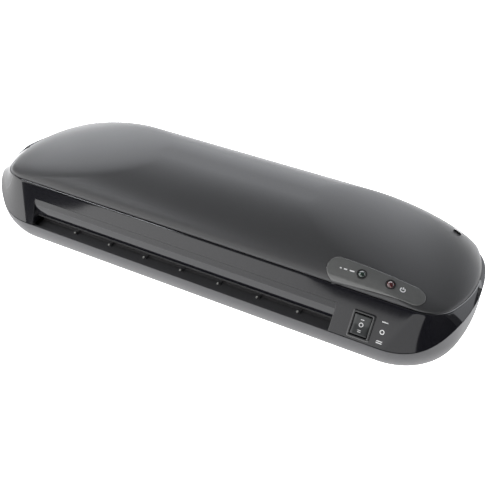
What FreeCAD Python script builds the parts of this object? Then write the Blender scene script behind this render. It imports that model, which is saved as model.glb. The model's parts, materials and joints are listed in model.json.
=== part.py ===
import FreeCAD, Part
import math
import os
import re
import Sketcher
from FreeCAD import Rotation, Vector

# Pouch laminator, A4.  Millimetres.  +X to the right as seen from the front, -Y to the
# front where the pouch goes in, +Z up.  The origin is on the table under the middle.
# The enclosure is a base, a glossy crescent bezel and a domed cover.  A pouch passes
# over the entry tray, between two heated plates, through the roller nip and out behind.

SIZES = {
    # Enclosure outline
    "foot_drop": 2.0,        # rubber feet below the base
    "half_length": 184.3,    # widest outline, at the parting line
    "half_depth": 63.8,
    "end_bow": 17.2,         # how far the ends bulge
    "corner_size": 45.0,
    "under_side": 4.2,       # base bottom drawn in at the ends
    "under_front": 6.2,      # and along front and back
    "parting_z": 20.8,       # parting line along the front
    "parting_top": 34.8,     # parting line round the ends
    "parting_rise_from": -63.0,
    "parting_rise_to": -31.0,
    "crease_z": 35.3,        # crease plane at mid depth
    "crease_tilt": 9.8,      # crease plane leans down to the back
    "crease_side": 3.2,      # crease drawn in at the ends
    "crease_front": 19.2,    # crease drawn back along the front
    "crease_back": 0.7,
    "crease_bow": 15.4,
    "crease_front_size": 23.0,
    "crease_back_size": 24.4,
    "top_z": 62.0,
    "end_run": 119.0,        # length over which the dome runs down to its ends
    "ridge_y": 11.7,
    "ridge_half": 5.0,
    "end_power": 1.46,
    "front_power": 1.9,
    "back_power": 2.0,
    # Walls and gaps
    "wall": 3.0,
    "roof": 2.5,
    "floor_wall": 2.5,
    "window_wall": 1.2,
    "shell_gap": 0.5,        # shadow gap between the enclosure shells
    "fit_gap": 0.3,
    "run_gap": 0.05,         # shaft in its bore
    # Entry slot and pouch path
    "slot_left": -131.0,
    "slot_right": 103.3,
    "slot_flare": 4.5,       # left wall of the recess leans outwards
    "hood_y": -51.0,
    "lip_y": -54.6,
    "lip_z": 24.3,
    "hood_wall": 1.5,
    "nip_z": 22.0,
    "tray_rim": 2.2,         # base wall left in front of the tray
    "tray_low": 17.4,
    "tray_plate": 1.6,
    "guide_count": 7,
    "guide_step": 29.7,
    "guide_mid": -9.5,
    "guide_wide": 1.4,
    "guide_high": 1.0,
    "exit_low": 18.2,
    "exit_high": 22.9,
    "exit_wall": 1.0,
    # Frames, rollers and their drive
    "frame_plate": 1.5,
    "frame_play": 0.5,       # frame outside the slot ends
    "frame_top": 47.5,
    "frame_front": -40.5,
    "roller_y": 6.0,
    "roller_size": 7.8,
    "nip_gap": 0.4,
    "shaft_size": 4.0,
    "bush_size": 6.0,
    "sleeve_play": 2.0,      # sleeve end to frame
    "block_half": 6.0,
    "lift": 0.8,
    "spring_size": 2.4,
    "spring_wire": 0.45,
    "spring_room": 9.0,      # block to frame tab
    "gear_module": 1.0,
    "gear_teeth": 16,
    "pinion_teeth": 10,
    "gear_wide": 6.0,
    "gear_play": 6.5,        # frame to gear face
    "motor_size": 18.0,
    "motor_long": 22.0,
    "motor_shaft": 2.5,
    "bracket_play": 3.5,
    # Heater
    "plate_gap": 2.8,
    "plate_thick": 1.4,
    "plate_front": -40.0,
    "plate_back": -6.0,
    "strip_thick": 2.5,
    "strip_half": 8.0,
    # Controls
    "switch_x": 122.8,
    "switch_half_wide": 7.5,
    "switch_half_high": 8.9,
    "switch_slope": 10.2,    # switch centre, measured up the band from the parting
    "switch_deep": 14.0,
    "rocker_half_wide": 5.4,
    "rocker_half_high": 6.6,
    "rocker_play": 0.5,      # end of the rocker to its well, level
    "rocker_pin": 1.2,
    "rocker_pin_out": -1.5,
    "window_x": 122.8,
    "window_half": 32.6,
    "window_size": 7.0,
    "window_y": -36.3,
    "window_z": 51.0,
    "window_lean": 20.0,
    "window_roll": 4.5,
    "lamp_size": 2.7,
    "lamp_green_x": 113.3,
    "lamp_red_x": 132.3,
    "release_x": 150.5,
    "release_y": 48.5,
    "release_z": 38.9,
    "release_lean": 23.8,
    "release_roll": 19.3,
    "release_travel": 6.0,
    # Board, gland, feet, screws
    "board_z": 10.0,
    "board_thick": 1.6,
    "board_wide": 28.0,
    "board_deep": 46.0,
    "gland_x": 112.0,
    "gland_z": 13.0,
    "gland_bore": 3.3,
    "foot_size": 8.0,
    "foot_x": 150.0,
    "foot_y": 32.0,
    "post_x": 159.0,
    "post_y": 26.0,
    "post_size": 4.5,
    "screw_size": 1.5,
    "screw_head": 3.0,
}

# Sizes worked out from the ones above, as text that the sheet can evaluate.
DERIVED = {
    "floor_z": "foot_drop + floor_wall",
    "crease_front_y": "(crease_front - half_depth) * cos(crease_tilt * 1 deg)",
    "crease_front_z": "crease_z - (crease_front - half_depth) * sin(crease_tilt * 1 deg)",
    "band_lean": "atan2(crease_front_z - parting_z; crease_front_y + half_depth) / 1 deg",
    "crease_deep": "half_depth - (crease_front + crease_back) / 2",
    "hood_z": "parting_z + (half_depth + hood_y) * tan(band_lean * 1 deg)",
    "frame_left": "slot_left - frame_play",
    "frame_right": "slot_right + frame_play",
    "slot_mid": "(slot_left + slot_right) / 2",
    "axle_low": "nip_z - roller_size - nip_gap / 2",
    "axle_high": "nip_z + roller_size + nip_gap / 2",
    "left_face": "frame_left - frame_plate",
    "right_face": "frame_right + frame_plate",
    "idler_y": "roller_y + gear_module * gear_teeth",
    "motor_z": "axle_low + gear_module * (gear_teeth + pinion_teeth) / 2",
    "gear_x": "frame_right + frame_plate + gear_play",
    "bracket_x": "gear_x + gear_wide + bracket_play",
    "plate_low": "nip_z - plate_gap / 2",
    "plate_high": "nip_z + plate_gap / 2",
    "shield_z": "plate_high + plate_thick + strip_thick + 7.5",
    "switch_y": "switch_slope * cos(band_lean * 1 deg) - half_depth",
    "switch_z": "parting_z + switch_slope * sin(band_lean * 1 deg)",
    "block_out": "gear_play - 1",
    "tab_z": "axle_high + block_half + spring_room",
    "board_x": "frame_right + 20",
    "board_y": "-36",
}

doc = FreeCAD.newDocument("pouch_laminator")
sheet = doc.addObject("Spreadsheet::Sheet", "dims")
for row, (alias, number) in enumerate(SIZES.items(), start=1):
    sheet.set(f"A{row}", alias.replace("_", " "))
    sheet.set(f"B{row}", str(number))
    sheet.setAlias(f"B{row}", alias)
doc.recompute()

NODES = {}
TURNS = {
    "X": "rotation(vector(0; 1; 0); 90 deg)",
    "Y": "rotation(vector(1; 0; 0); -90 deg)",
    "Z": "rotation(vector(0; 0; 1); 0 deg)",
}


def leaning(pivot, pitch, roll="0"):
    """Frame at a pivot, leaning back about X and then down to the right."""
    return pivot, (f"rotation(vector(1; 0; 0); ({pitch}) * 1 deg)"
                   f" * rotation(vector(0; 1; 0); ({roll}) * 1 deg)")


# Frames whose Z stands square off the surface that the piece is set in.
SWITCH = leaning(("switch_x", "switch_y", "switch_z"), "band_lean")
WINDOW = leaning(("window_x", "window_y", "window_z"), "window_lean", "window_roll")
RELEASE = leaning(("release_x", "release_y", "release_z"), "-release_lean", "release_roll")


def ex(text):
    """Text with every size named as a cell of the sheet."""
    def swap(match):
        word = match.group()
        if word in DERIVED:
            return "(" + ex(DERIVED[word]) + ")"
        return "dims." + word if word in SIZES else word
    return re.sub(r"[a-z]\w*", swap, str(text))


def val(text):
    """The number that a text of sizes comes to now."""
    return float(sheet.evalExpression(ex(text)))


def place(obj, spot, turn=TURNS["Z"], frame=None):
    """Place an object at three size texts with a rotation text, in a leaning frame if one is given."""
    text = f"placement(vector({'; '.join(map(str, spot))}); {turn})"
    if frame:
        pivot, lean = frame
        text = f"placement(vector({'; '.join(pivot)}); {lean}) * {text}"
    obj.setExpression("Placement", ex(text))
    return obj


def block(name, low, high, frame=None):
    """Box between two corners."""
    obj = doc.addObject("Part::Box", name)
    for side, near, far in zip(("Length", "Width", "Height"), low, high):
        obj.setExpression(side, ex(f"({far}) - ({near})"))
    return place(obj, low, frame=frame)


def rod(name, axis, start, size, long, frame=None):
    """Cylinder of radius size from a start point along an axis."""
    obj = doc.addObject("Part::Cylinder", name)
    obj.setExpression("Radius", ex(size))
    obj.setExpression("Height", ex(long))
    return place(obj, start, TURNS[axis], frame)


def fuse(name, *parts):
    if len(parts) == 1:
        return parts[0]
    obj = doc.addObject("Part::MultiFuse", name)
    obj.Shapes = list(parts)
    obj.Refine = True
    return obj


def cut(name, base, *tools):
    obj = doc.addObject("Part::Cut", name)
    obj.Base = base
    obj.Tool = fuse(name + "_tools", *tools)
    return obj


def common(name, first, second):
    obj = doc.addObject("Part::Common", name)
    obj.Base = first
    obj.Tool = second
    return obj


def group(name, parts):
    """Separate like solids that share one node."""
    obj = doc.addObject("Part::Compound", name)
    obj.Links = list(parts)
    return obj


def node(label, obj):
    """Give a finished sub-part the label that names its file."""
    obj.Label = label
    NODES[label] = obj
    return obj


def bind(sketch, kind, where, text):
    """Add a measured constraint tied to a text of sizes."""
    index = sketch.addConstraint(Sketcher.Constraint(kind, *where, val(text)))
    title = f"size_{index}"
    sketch.renameConstraint(index, title)
    sketch.setExpression("Constraints." + title, ex(text))


def polygon(name, corners):
    """Closed sketch with a corner at each pair of size texts."""
    sketch = doc.addObject("Sketcher::SketchObject", name)
    spots = [Vector(val(across), val(up), 0) for across, up in corners]
    count = len(spots)
    for i in range(count):
        sketch.addGeometry(Part.LineSegment(spots[i], spots[(i + 1) % count]))
    for i in range(count):
        sketch.addConstraint(Sketcher.Constraint("Coincident", i, 2, (i + 1) % count, 1))
    for i, (across, up) in enumerate(corners):
        bind(sketch, "DistanceX", (-1, 1, i, 1), across)
        bind(sketch, "DistanceY", (-1, 1, i, 1), up)
    return sketch


def extrude_x(name, sketch, start, long, frame=None):
    """Carry a sketch of Y and Z along X."""
    place(sketch, (start, 0, 0), "rotation(vector(1; 1; 1); 120 deg)", frame)
    obj = doc.addObject("Part::Extrusion", name)
    obj.Base = sketch
    obj.DirMode = "Custom"
    obj.Dir = Vector(1, 0, 0)
    obj.Solid = True
    obj.setExpression("LengthFwd", ex(long))
    return obj


def prism(name, corners, start, end, frame=None):
    """Polygon of Y and Z corners carried along X from start to end."""
    return extrude_x(name, polygon(name + "_outline", corners), start, f"({end}) - ({start})",
                     frame)


def outline(name, half, front, back, bow, front_size, back_size, height, tilt="0"):
    """Rounded outline with straight front and back and bowed ends."""
    deep = f"((({back}) - ({front})) / 2)"
    middle = f"((({back}) + ({front})) / 2)"
    end_size = f"(({deep}^2 + ({bow})^2) / (2 * ({bow})))"
    end_x = f"(({half}) - {end_size})"
    length, near, far, arc = val(half), val(front), val(back), val(end_size)
    small, large, mid = val(front_size), val(back_size), val(middle)
    hub = length - arc
    near_x = hub + math.sqrt((arc - small) ** 2 - (near + small - mid) ** 2)
    far_x = hub + math.sqrt((arc - large) ** 2 - (far - large - mid) ** 2)
    low = math.atan2(near + small - mid, near_x - hub)
    high = math.atan2(far - large - mid, far_x - hub)
    sketch = doc.addObject("Sketcher::SketchObject", name)

    def arc_of(x, y, size, start, end):
        circle = Part.Circle(Vector(x, y, 0), Vector(0, 0, 1), size)
        sketch.addGeometry(Part.ArcOfCircle(circle, start, end))

    sketch.addGeometry(Part.LineSegment(Vector(-near_x, near, 0), Vector(near_x, near, 0)))
    arc_of(near_x, near + small, small, -math.pi / 2, low)
    arc_of(hub, mid, arc, low, high)
    arc_of(far_x, far - large, large, high, math.pi / 2)
    sketch.addGeometry(Part.LineSegment(Vector(far_x, far, 0), Vector(-far_x, far, 0)))
    arc_of(-far_x, far - large, large, math.pi / 2, math.pi - high)
    arc_of(-hub, mid, arc, math.pi - high, math.pi - low)
    arc_of(-near_x, near + small, small, math.pi - low, 3 * math.pi / 2)
    for i in range(8):
        sketch.addConstraint(Sketcher.Constraint("Tangent", i, 2, (i + 1) % 8, 1))
    sketch.addConstraint(Sketcher.Constraint("Horizontal", 0))
    sketch.addConstraint(Sketcher.Constraint("Horizontal", 4))
    bind(sketch, "DistanceY", (-1, 1, 0, 1), front)
    bind(sketch, "DistanceY", (-1, 1, 4, 1), back)
    for edge, text in ((1, front_size), (7, front_size), (3, back_size), (5, back_size),
                       (2, end_size), (6, end_size)):
        bind(sketch, "Radius", (edge,), text)
    bind(sketch, "DistanceX", (-1, 1, 2, 3), end_x)
    bind(sketch, "DistanceX", (-1, 1, 6, 3), f"-{end_x}")
    bind(sketch, "DistanceY", (-1, 1, 2, 3), middle)
    bind(sketch, "DistanceY", (-1, 1, 6, 3), middle)
    return place(sketch, (0, 0, height), f"rotation(vector(1; 0; 0); -({tilt}) * 1 deg)")


def loft(name, sections, ruled):
    obj = doc.addObject("Part::Loft", name)
    obj.Sections = sections
    obj.Solid = True
    obj.Ruled = ruled
    return obj


# ---------------------------------------------------------------- enclosure surfaces

def crease_outline(name, inset, lift):
    """Outline of the crease plane, drawn in by an inset and moved up by a lift."""
    front = f"-half_depth + crease_front + ({inset})"
    back = f"half_depth - crease_back - ({inset})"
    return outline(name, f"half_length - crease_side - ({inset})", front, back,
                   "crease_bow", "crease_front_size", "crease_back_size",
                   f"crease_z + ({lift})", "crease_tilt")


def parting_outline(name, inset):
    return outline(name, f"half_length - ({inset})", f"-half_depth + ({inset})",
                   f"half_depth - ({inset})", "end_bow", f"corner_size - ({inset})",
                   f"corner_size - ({inset})", "parting_z")


def bottom_outline(name, inset, height, share):
    """Outline of the base drawn in by a share of its undercut."""
    side = f"(under_side * {share} + ({inset}))"
    front = f"(under_front * {share} + ({inset}))"
    return outline(name, f"half_length - {side}", f"-half_depth + {front}", f"half_depth - {front}",
                   "end_bow", f"corner_size - {front} / 2", f"corner_size - {front} / 2", height)


def dome(name, inset, roof):
    """Dome above the crease plane, with quarter-wave steps of height."""
    steps = 6
    sections = []
    for i in range(steps):
        share = round(math.sin(math.pi / 2 * i / (steps - 1)), 4)
        run = {side: f"(1 - (1 - {share}^{side}_power)^(1 / {side}_power))"
               for side in ("end", "front", "back")}
        start = f"(crease_front - half_depth + ({inset}))"
        stop = f"(half_depth - crease_back - ({inset}))"
        front = f"({start} + (ridge_y - ridge_half - {start}) * {run['front']})"
        back = f"({stop} - ({stop} - ridge_y - ridge_half) * {run['back']})"
        deep = f"(({back} - {front}) / 2)"
        size = "(crease_{0}_size / crease_deep * (1 - {1}) + 0.9 * {1})"
        sections.append(outline(
            f"{name}_{i}", f"half_length - crease_side - ({inset}) - end_run * {run['end']}",
            front, back, f"{deep} * (crease_bow / crease_deep * (1 - {share}) + 0.8 * {share})",
            f"{deep} * {size.format('front', share)}", f"{deep} * {size.format('back', share)}",
            f"crease_z + (top_z - ({roof}) - crease_z) * {share}", f"crease_tilt * (1 - {share})"))
    return loft(name, sections, False)


def parting_tool(name, shift):
    """Everything below the parting line, which climbs in an S towards the ends."""
    reach = 90
    low, high = f"parting_z + ({shift})", f"parting_top + ({shift})"
    rise, run = "(parting_top - parting_z)", "(parting_rise_to - parting_rise_from)"
    size = f"(({run}^2 + {rise}^2) / (4 * {rise}))"
    y1, y2, z1, z2, arc = map(val, ("parting_rise_from", "parting_rise_to", low, high, size))
    half_turn = math.asin((y2 - y1) / 2 / arc)
    middle = Vector((y1 + y2) / 2, (z1 + z2) / 2, 0)
    sketch = doc.addObject("Sketcher::SketchObject", name + "_outline")
    first, last = Vector(y1, z1, 0), Vector(y2, z2, 0)
    up = Part.ArcOfCircle(Part.Circle(Vector(y1, z1 + arc, 0), Vector(0, 0, 1), arc),
                          -math.pi / 2, -math.pi / 2 + half_turn)
    over = Part.ArcOfCircle(Part.Circle(Vector(y2, z2 - arc, 0), Vector(0, 0, 1), arc),
                            math.pi / 2, math.pi / 2 + half_turn)
    ends = [Vector(-reach, z1, 0), first, middle, last, Vector(reach, z2, 0),
            Vector(reach, -reach, 0), Vector(-reach, -reach, 0)]
    for start, end in ((0, 1), (3, 4), (4, 5), (5, 6), (6, 0)):
        sketch.addGeometry(Part.LineSegment(ends[start], ends[end]))
    sketch.addGeometry(up)
    sketch.addGeometry(over)
    for one, two in (((0, 2), (5, 1)), ((5, 2), (6, 2)), ((6, 1), (1, 1))):
        sketch.addConstraint(Sketcher.Constraint("Tangent", *one, *two))
    for one, two in ((1, 2), (2, 3), (3, 4), (4, 0)):
        sketch.addConstraint(Sketcher.Constraint("Coincident", one, 2, two, 1))
    for edge in (0, 1, 3):
        sketch.addConstraint(Sketcher.Constraint("Horizontal", edge))
    for edge in (2, 4):
        sketch.addConstraint(Sketcher.Constraint("Vertical", edge))
    sketch.addConstraint(Sketcher.Constraint("Equal", 5, 6))
    bind(sketch, "DistanceX", (-1, 1, 0, 1), f"-{reach}")
    bind(sketch, "DistanceX", (-1, 1, 1, 2), str(reach))
    bind(sketch, "DistanceY", (-1, 1, 3, 1), f"-{reach}")
    bind(sketch, "DistanceX", (-1, 1, 0, 2), "parting_rise_from")
    bind(sketch, "DistanceY", (-1, 1, 0, 2), low)
    bind(sketch, "DistanceX", (-1, 1, 1, 1), "parting_rise_to")
    bind(sketch, "DistanceY", (-1, 1, 1, 1), high)
    return extrude_x(name, sketch, "-half_length - 10", "2 * half_length + 20")


lower_outer = loft("lower_outer", [bottom_outline("lower_outer_0", "0", "foot_drop", 1),
                                   bottom_outline("lower_outer_1", "0", "foot_drop + 5", 0.53),
                                   parting_outline("lower_outer_2", "0")], False)
band_outer = loft("band_outer", [parting_outline("band_outer_0", "0"),
                                 crease_outline("band_outer_1", "0", "0")], True)
lower_inner = loft("lower_inner", [bottom_outline("lower_inner_0", "wall", "floor_z", 0.8),
                                   parting_outline("lower_inner_1", "wall"),
                                   crease_outline("lower_inner_2", "wall", "1")], True)
dome_outer = dome("dome_outer", "0", "0")
dome_skin = dome("dome_skin", "window_wall", "window_wall")
dome_inner = dome("dome_inner", "wall", "roof")
everything = fuse("everything", lower_outer, band_outer, dome_outer)


# ---------------------------------------------------------------- base, bezel and cover

MIRROR = (-1, 1)


def posts(name, size, low, long):
    """Four upright cylinders at the corners where the cover is screwed down."""
    return [rod(f"{name}_{i}_{j}", "Z", (f"{i} * post_x", f"{j} * post_y", low), size, long)
            for i in MIRROR for j in MIRROR]


def frame_feet():
    """Where each foot tab of a side frame is screwed down: X, Y."""
    left, right = "frame_left - frame_plate - 5.5", "frame_right + frame_plate + 5.5"
    return [(left, "frame_front + 9"), (left, "roller_y + 12"),
            (right, "frame_front + 9"), (right, "roller_y + 28")]


def board_posts():
    return [(x, y) for x in ("board_x + 4", "board_x + board_wide - 4")
            for y in ("board_y + 4", "board_y + board_deep - 4")]


def base_housing():
    parting = parting_tool("base_parting", "-shell_gap / 2")
    outer = fuse("base_outer", lower_outer, common("base_band", band_outer, parting))
    shell = cut("base_shell", common("base_trim", outer, parting), lower_inner)
    screw_posts = posts("base_post", "post_size", "floor_z - 1", "parting_z - floor_z")
    standoffs = [rod(f"board_standoff_{i}", "Z", (x, y, "floor_z - 1"), "2.6", "board_z - floor_z + 1")
                 for i, (x, y) in enumerate(board_posts())]
    full = fuse("base_full", shell, *screw_posts, *standoffs)
    tray_seat = block("tray_seat", ("slot_left", "-half_depth + tray_rim", "tray_low - tray_plate"),
                      ("slot_right", "-half_depth + wall + 5", "parting_z + 1"))
    exit_cut = block("base_exit_cut", ("slot_left - exit_wall", "half_depth - 15", "exit_low - exit_wall"),
                     ("slot_right + exit_wall", "half_depth + 5", "exit_high + exit_wall"))
    gland_cut = rod("base_gland_cut", "Y", ("gland_x", "half_depth - 10", "gland_z"),
                    "gland_bore + 1.5", "20")
    heads = posts("base_head_cut", "screw_head + 0.2", "0", "foot_drop + 4")
    shanks = posts("base_shank_cut", "screw_size + 0.1", "0", "parting_z")
    feet = [rod(f"base_foot_cut_{i}_{j}", "Z", (f"{i} * foot_x", f"{j} * foot_y", "0"), "2.1", "floor_z + 1")
            for i in MIRROR for j in MIRROR]
    taps = [rod(f"base_tap_{i}", "Z", (x, y, "0"), "screw_size + 0.1", "floor_z + 1")
            for i, (x, y) in enumerate(frame_feet())]
    pilots = [rod(f"board_pilot_{i}", "Z", (x, y, "floor_z - 1"), "1.1", "board_z")
              for i, (x, y) in enumerate(board_posts())]
    vents = [block(f"base_vent_{i}", (f"-75 + {i} * 12", "-20", "0"), (f"-72 + {i} * 12", "20", "floor_z + 1"))
             for i in range(13)]
    return node("base_housing", cut("base_housing", full, tray_seat, exit_cut, gland_cut, *heads, *shanks, *feet,
                                    *taps, *pilots, *vents))


def front_bezel():
    parting = parting_tool("bezel_parting", "shell_gap / 2")
    band = cut("bezel_band", band_outer, parting)
    crescent = cut("bezel_crescent", band, lower_inner)
    chunk = common("bezel_chunk", band, block(
        "bezel_chunk_box", ("slot_left - slot_flare - 2", "-half_depth - 1", "parting_z"),
        ("slot_right + 2", "hood_y + 2.8", "hood_z + 2")))
    solid = fuse("bezel_solid", crescent, chunk)
    mouth = prism("hood_mouth", [("hood_y", "hood_z"), ("lip_y", "lip_z"), ("lip_y", "parting_z - 2"),
                                 ("-half_depth - 5", "parting_z - 2"),
                                 ("-half_depth - 5", "hood_z + 5"), ("hood_y", "hood_z + 5")],
                  "slot_left - 2 * slot_flare", "slot_right")
    flare = leaning(("slot_left", "0", "parting_z"), "0", "-atan2(slot_flare; hood_z - parting_z) / 1 deg")
    recess = common("hood_recess", mouth, block("hood_flare", ("0", "-half_depth - 9", "-120"),
                                                ("300", "0", "60"), flare))
    behind = prism("hood_behind", [("lip_y + hood_wall", "lip_z - hood_wall"),
                                   ("hood_y + hood_wall", "hood_z - hood_wall"),
                                   ("hood_y + 4", "hood_z - hood_wall"), ("hood_y + 4", "parting_z - 2"),
                                   ("lip_y - 1", "parting_z - 2"), ("lip_y - 1", "lip_z - hood_wall")],
                   "slot_left", "slot_right")
    across, up = "switch_half_wide - 1 + fit_gap", "switch_half_high - 1 + fit_gap"
    opening = block("bezel_switch_cut", (f"-({across})", f"-({up})", "-12"), (across, up, "12"), SWITCH)
    return node("front_bezel", cut("front_bezel", solid, recess, behind, opening))


def window_prism(name, shrink, depth):
    """Pill-shaped prism square to the dome where the indicator window lies."""
    half, size = "(window_half - window_size)", f"(window_size - ({shrink}))"
    body = block(name + "_body", (f"-{half}", f"-{size}", f"-({depth})"), (half, size, "14"), WINDOW)
    ends = [rod(f"{name}_end_{i}", "Z", (f"{i} * {half}", "0", f"-({depth})"), size, f"14 + ({depth})", WINDOW)
            for i in MIRROR]
    return fuse(name, body, *ends)


def lamp_rods(name, size, low, long):
    return [rod(f"{name}_{i}", "Z", (f"{x} - window_x", "0", low), size, long, WINDOW)
            for i, x in enumerate(("lamp_green_x", "lamp_red_x"))]


def top_cover():
    shell = cut("cover_shell", dome_outer, dome_inner)
    screw_posts = [common(f"cover_post_{i}", post, everything)
                   for i, post in enumerate(posts("cover_rod", "post_size - 0.5", "parting_z + fit_gap", "60"))]
    full = fuse("cover_full", shell, *screw_posts)
    pocket = cut("window_pocket", window_prism("window_seat", "0", "14"), dome_skin)
    lamps = lamp_rods("cover_lamp_cut", "lamp_size + 0.2", "-12", "24")
    pilots = posts("cover_pilot", "screw_size + 0.1", "parting_z - 1", "12")
    flat = block("release_flat", ("-12", "-5", "0"), ("9", "5", "12"), RELEASE)
    slot = block("release_slot", ("-7.5", "-1.5", "-8"), ("4.5", "1.5", "2"), RELEASE)
    return node("top_cover", cut("top_cover", full, pocket, *lamps, *pilots, flat, slot))




# ---------------------------------------------------------------- pouch path

def entry_tray():
    nose, low, high = "-half_depth + tray_rim + fit_gap", "tray_low", "plate_low - 0.2"
    under, ramp = "tray_low - tray_plate", "lip_y + 2.5"
    plate = prism("tray_plate", [
        (nose, under), (nose, f"{low} + 0.8"), (f"{nose} + 2", low), (ramp, low), ("lip_y + 9", high), ("frame_front - 0.3", high),
        ("frame_front - 0.3", f"{high} - tray_plate"), ("lip_y + 9.3", f"{high} - tray_plate"),
        (f"{ramp} + 0.3", under)], "slot_left + 0.2", "slot_right - 0.2")
    guides = []
    for i in range(int(SIZES["guide_count"])):
        start = f"guide_mid + {i - int(SIZES['guide_count']) // 2} * guide_step - guide_wide / 2"
        guides.append(prism(f"tray_guide_{i}", [
            ("lip_y - 0.8", "tray_low - 0.5"), ("lip_y - 0.3", "tray_low + guide_high"),
            (f"{ramp} - 0.3", "tray_low + guide_high"), ("lip_y + 8.5", "plate_low + 0.5"),
            ("lip_y + 10.5", "plate_low + 0.5"), ("lip_y + 10.5", f"{high} - 1"),
            ("lip_y + 9", f"{high} - 1"), (f"{ramp}", "tray_low - 1")], start, f"{start} + guide_wide"))
    return node("entry_tray", fuse("entry_tray", plate, *guides))


def exit_guide():
    left, right = "slot_left - exit_wall", "slot_right + exit_wall"
    back, start = "half_depth - 0.2", "roller_y + roller_size + 1.5"
    ring = block("exit_ring", (left, "half_depth - 4", "exit_low - exit_wall"),
                 (right, back, "exit_high + exit_wall"))
    shelf = block("exit_shelf", ("slot_left", start, "exit_low - exit_wall"),
                  ("slot_right", "half_depth - 3", "exit_high + exit_wall"))
    way = block("exit_way", ("slot_left + 2", start + " - 1", "exit_low"),
                ("slot_right - 2", "half_depth + 1", "exit_high"))
    return node("exit_guide", cut("exit_guide", fuse("exit_solid", ring, shelf), way))


# ---------------------------------------------------------------- frames and rollers

def side_frame(label, start, end, outward, back):
    """Sheet steel side plate with bearing seats, a spring tab and two screwed feet."""
    plate = prism(label + "_plate", [
        ("frame_front", "floor_z"), ("frame_front", "frame_top - 20"), ("frame_front + 12", "frame_top - 12"),
        ("roller_y - 14", "frame_top"), ("roller_y + 16", "frame_top"), (back, "frame_top - 7"),
        (back, "floor_z")], start, end)
    face = start if outward < 0 else end
    parts = [plate, outward_block(label + "_tab", face, outward, "7",
                                  ("roller_y - 4", "tab_z"), ("roller_y + 4", "tab_z + frame_plate"))]
    feet = frame_feet()[:2] if outward < 0 else frame_feet()[2:]
    for i, (x, y) in enumerate(feet):
        parts.append(outward_block(f"{label}_foot_{i}", face, outward, "9.5",
                                   (f"{y} - 4.5", "floor_z"), (f"{y} + 4.5", "floor_z + frame_plate")))
    seat = rod(label + "_seat", "X", (f"{start} - 1", "roller_y", "axle_low"), "bush_size", "frame_plate + 2")
    window = block(label + "_window", (f"{start} - 1", "roller_y - block_half - fit_gap",
                                       "axle_high - block_half - fit_gap"),
                   (f"{end} + 1", "roller_y + block_half + fit_gap",
                    "axle_high + block_half + lift + fit_gap"))
    holes = [rod(f"{label}_hole_{i}", "Z", (x, y, "floor_z - 1"), "screw_size + 0.2", "frame_plate + 2")
             for i, (x, y) in enumerate(feet)]
    return node(label, cut(label, fuse(label + "_full", *parts), seat, window, *holes))


def outward_block(name, face, outward, reach, low, high):
    """Box that stands out from a side plate's outer face, to the left or right."""
    near, far = (f"{face} - {reach}", face) if outward < 0 else (face, f"{face} + {reach}")
    return block(name, (near, *low), (far, *high))


def roller(label, height, end_play):
    """Steel shaft and the silicone sleeve bonded to it."""
    shaft = rod(label + "_shaft", "X", ("left_face - 4", "roller_y", height), "shaft_size",
                f"gear_x + gear_wide + {end_play} - left_face + 4")
    outer = rod(label + "_tube", "X", ("frame_left + sleeve_play", "roller_y", height), "roller_size",
                "frame_right - frame_left - 2 * sleeve_play")
    bore = rod(label + "_bore", "X", ("frame_left", "roller_y", height), "shaft_size",
               "frame_right - frame_left")
    node(label + "_shaft", shaft)
    node(label + "_sleeve", cut(label + "_sleeve", outer, bore))


def roller_bushes():
    """Flanged bushes of the lower roller, one in each side frame."""
    bushes = []
    for side, start, flange in (("left", "left_face - 1", "frame_left"),
                                ("right", "frame_right - 1.5", "frame_right - 1.5")):
        barrel = rod(f"bush_barrel_{side}", "X", (start, "roller_y", "axle_low"), "bush_size",
                     "frame_plate + 2.5")
        collar = rod(f"bush_collar_{side}", "X", (flange, "roller_y", "axle_low"), "bush_size + 1.3", "1.5")
        bore = rod(f"bush_bore_{side}", "X", (f"{start} - 2", "roller_y", "axle_low"),
                   "shaft_size + run_gap", "frame_plate + 8")
        bushes.append(cut(f"bush_{side}", fuse(f"bush_full_{side}", barrel, collar), bore))
    return node("lower_bushes", group("lower_bushes", bushes))


def bearing_blocks():
    """Upper roller bearings, which slide up in the frame windows."""
    blocks = []
    for side, start, end in (("left", "left_face - block_out", "frame_left + 1.5"),
                             ("right", "frame_right - 1.5", "right_face + block_out")):
        body = block(f"block_body_{side}", (start, "roller_y - block_half", "axle_high - block_half"),
                     (end, "roller_y + block_half", "axle_high + block_half"))
        bore = rod(f"block_bore_{side}", "X", (f"{start} - 1", "roller_y", "axle_high"),
                   "shaft_size + run_gap", f"{end} - ({start}) + 2")
        blocks.append(cut(f"block_{side}", body, bore))
    return node("bearing_blocks", group("bearing_blocks", blocks))


def pressure_springs():
    """Compression springs between the bearing blocks and the frame tabs."""
    springs = []
    for side, x in (("left", "left_face - 0.3 - spring_size - spring_wire"),
                    ("right", "right_face + 0.3 + spring_size + spring_wire")):
        foot = "axle_high + block_half + spring_wire + 0.05"
        helix = doc.addObject("Part::Helix", f"spring_path_{side}")
        helix.setExpression("Radius", ex("spring_size - spring_wire"))
        helix.setExpression("Pitch", ex("(spring_room - 2 * spring_wire - 0.1) / 4.5"))
        helix.setExpression("Height", ex("spring_room - 2 * spring_wire - 0.1"))
        place(helix, (x, "roller_y", foot))
        wire = doc.addObject("Part::Circle", f"spring_wire_{side}")
        wire.setExpression("Radius", ex("spring_wire"))
        place(wire, (f"{x} + spring_size - spring_wire", "roller_y", foot), TURNS["Y"])
        sweep = doc.addObject("Part::Sweep", f"spring_{side}")
        sweep.Sections = [wire]
        sweep.Spine = (helix, ["Edge1"])
        sweep.Solid = True
        sweep.Frenet = True
        springs.append(sweep)
    return node("pressure_springs", group("pressure_springs", springs))


# ---------------------------------------------------------------- drive

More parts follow.
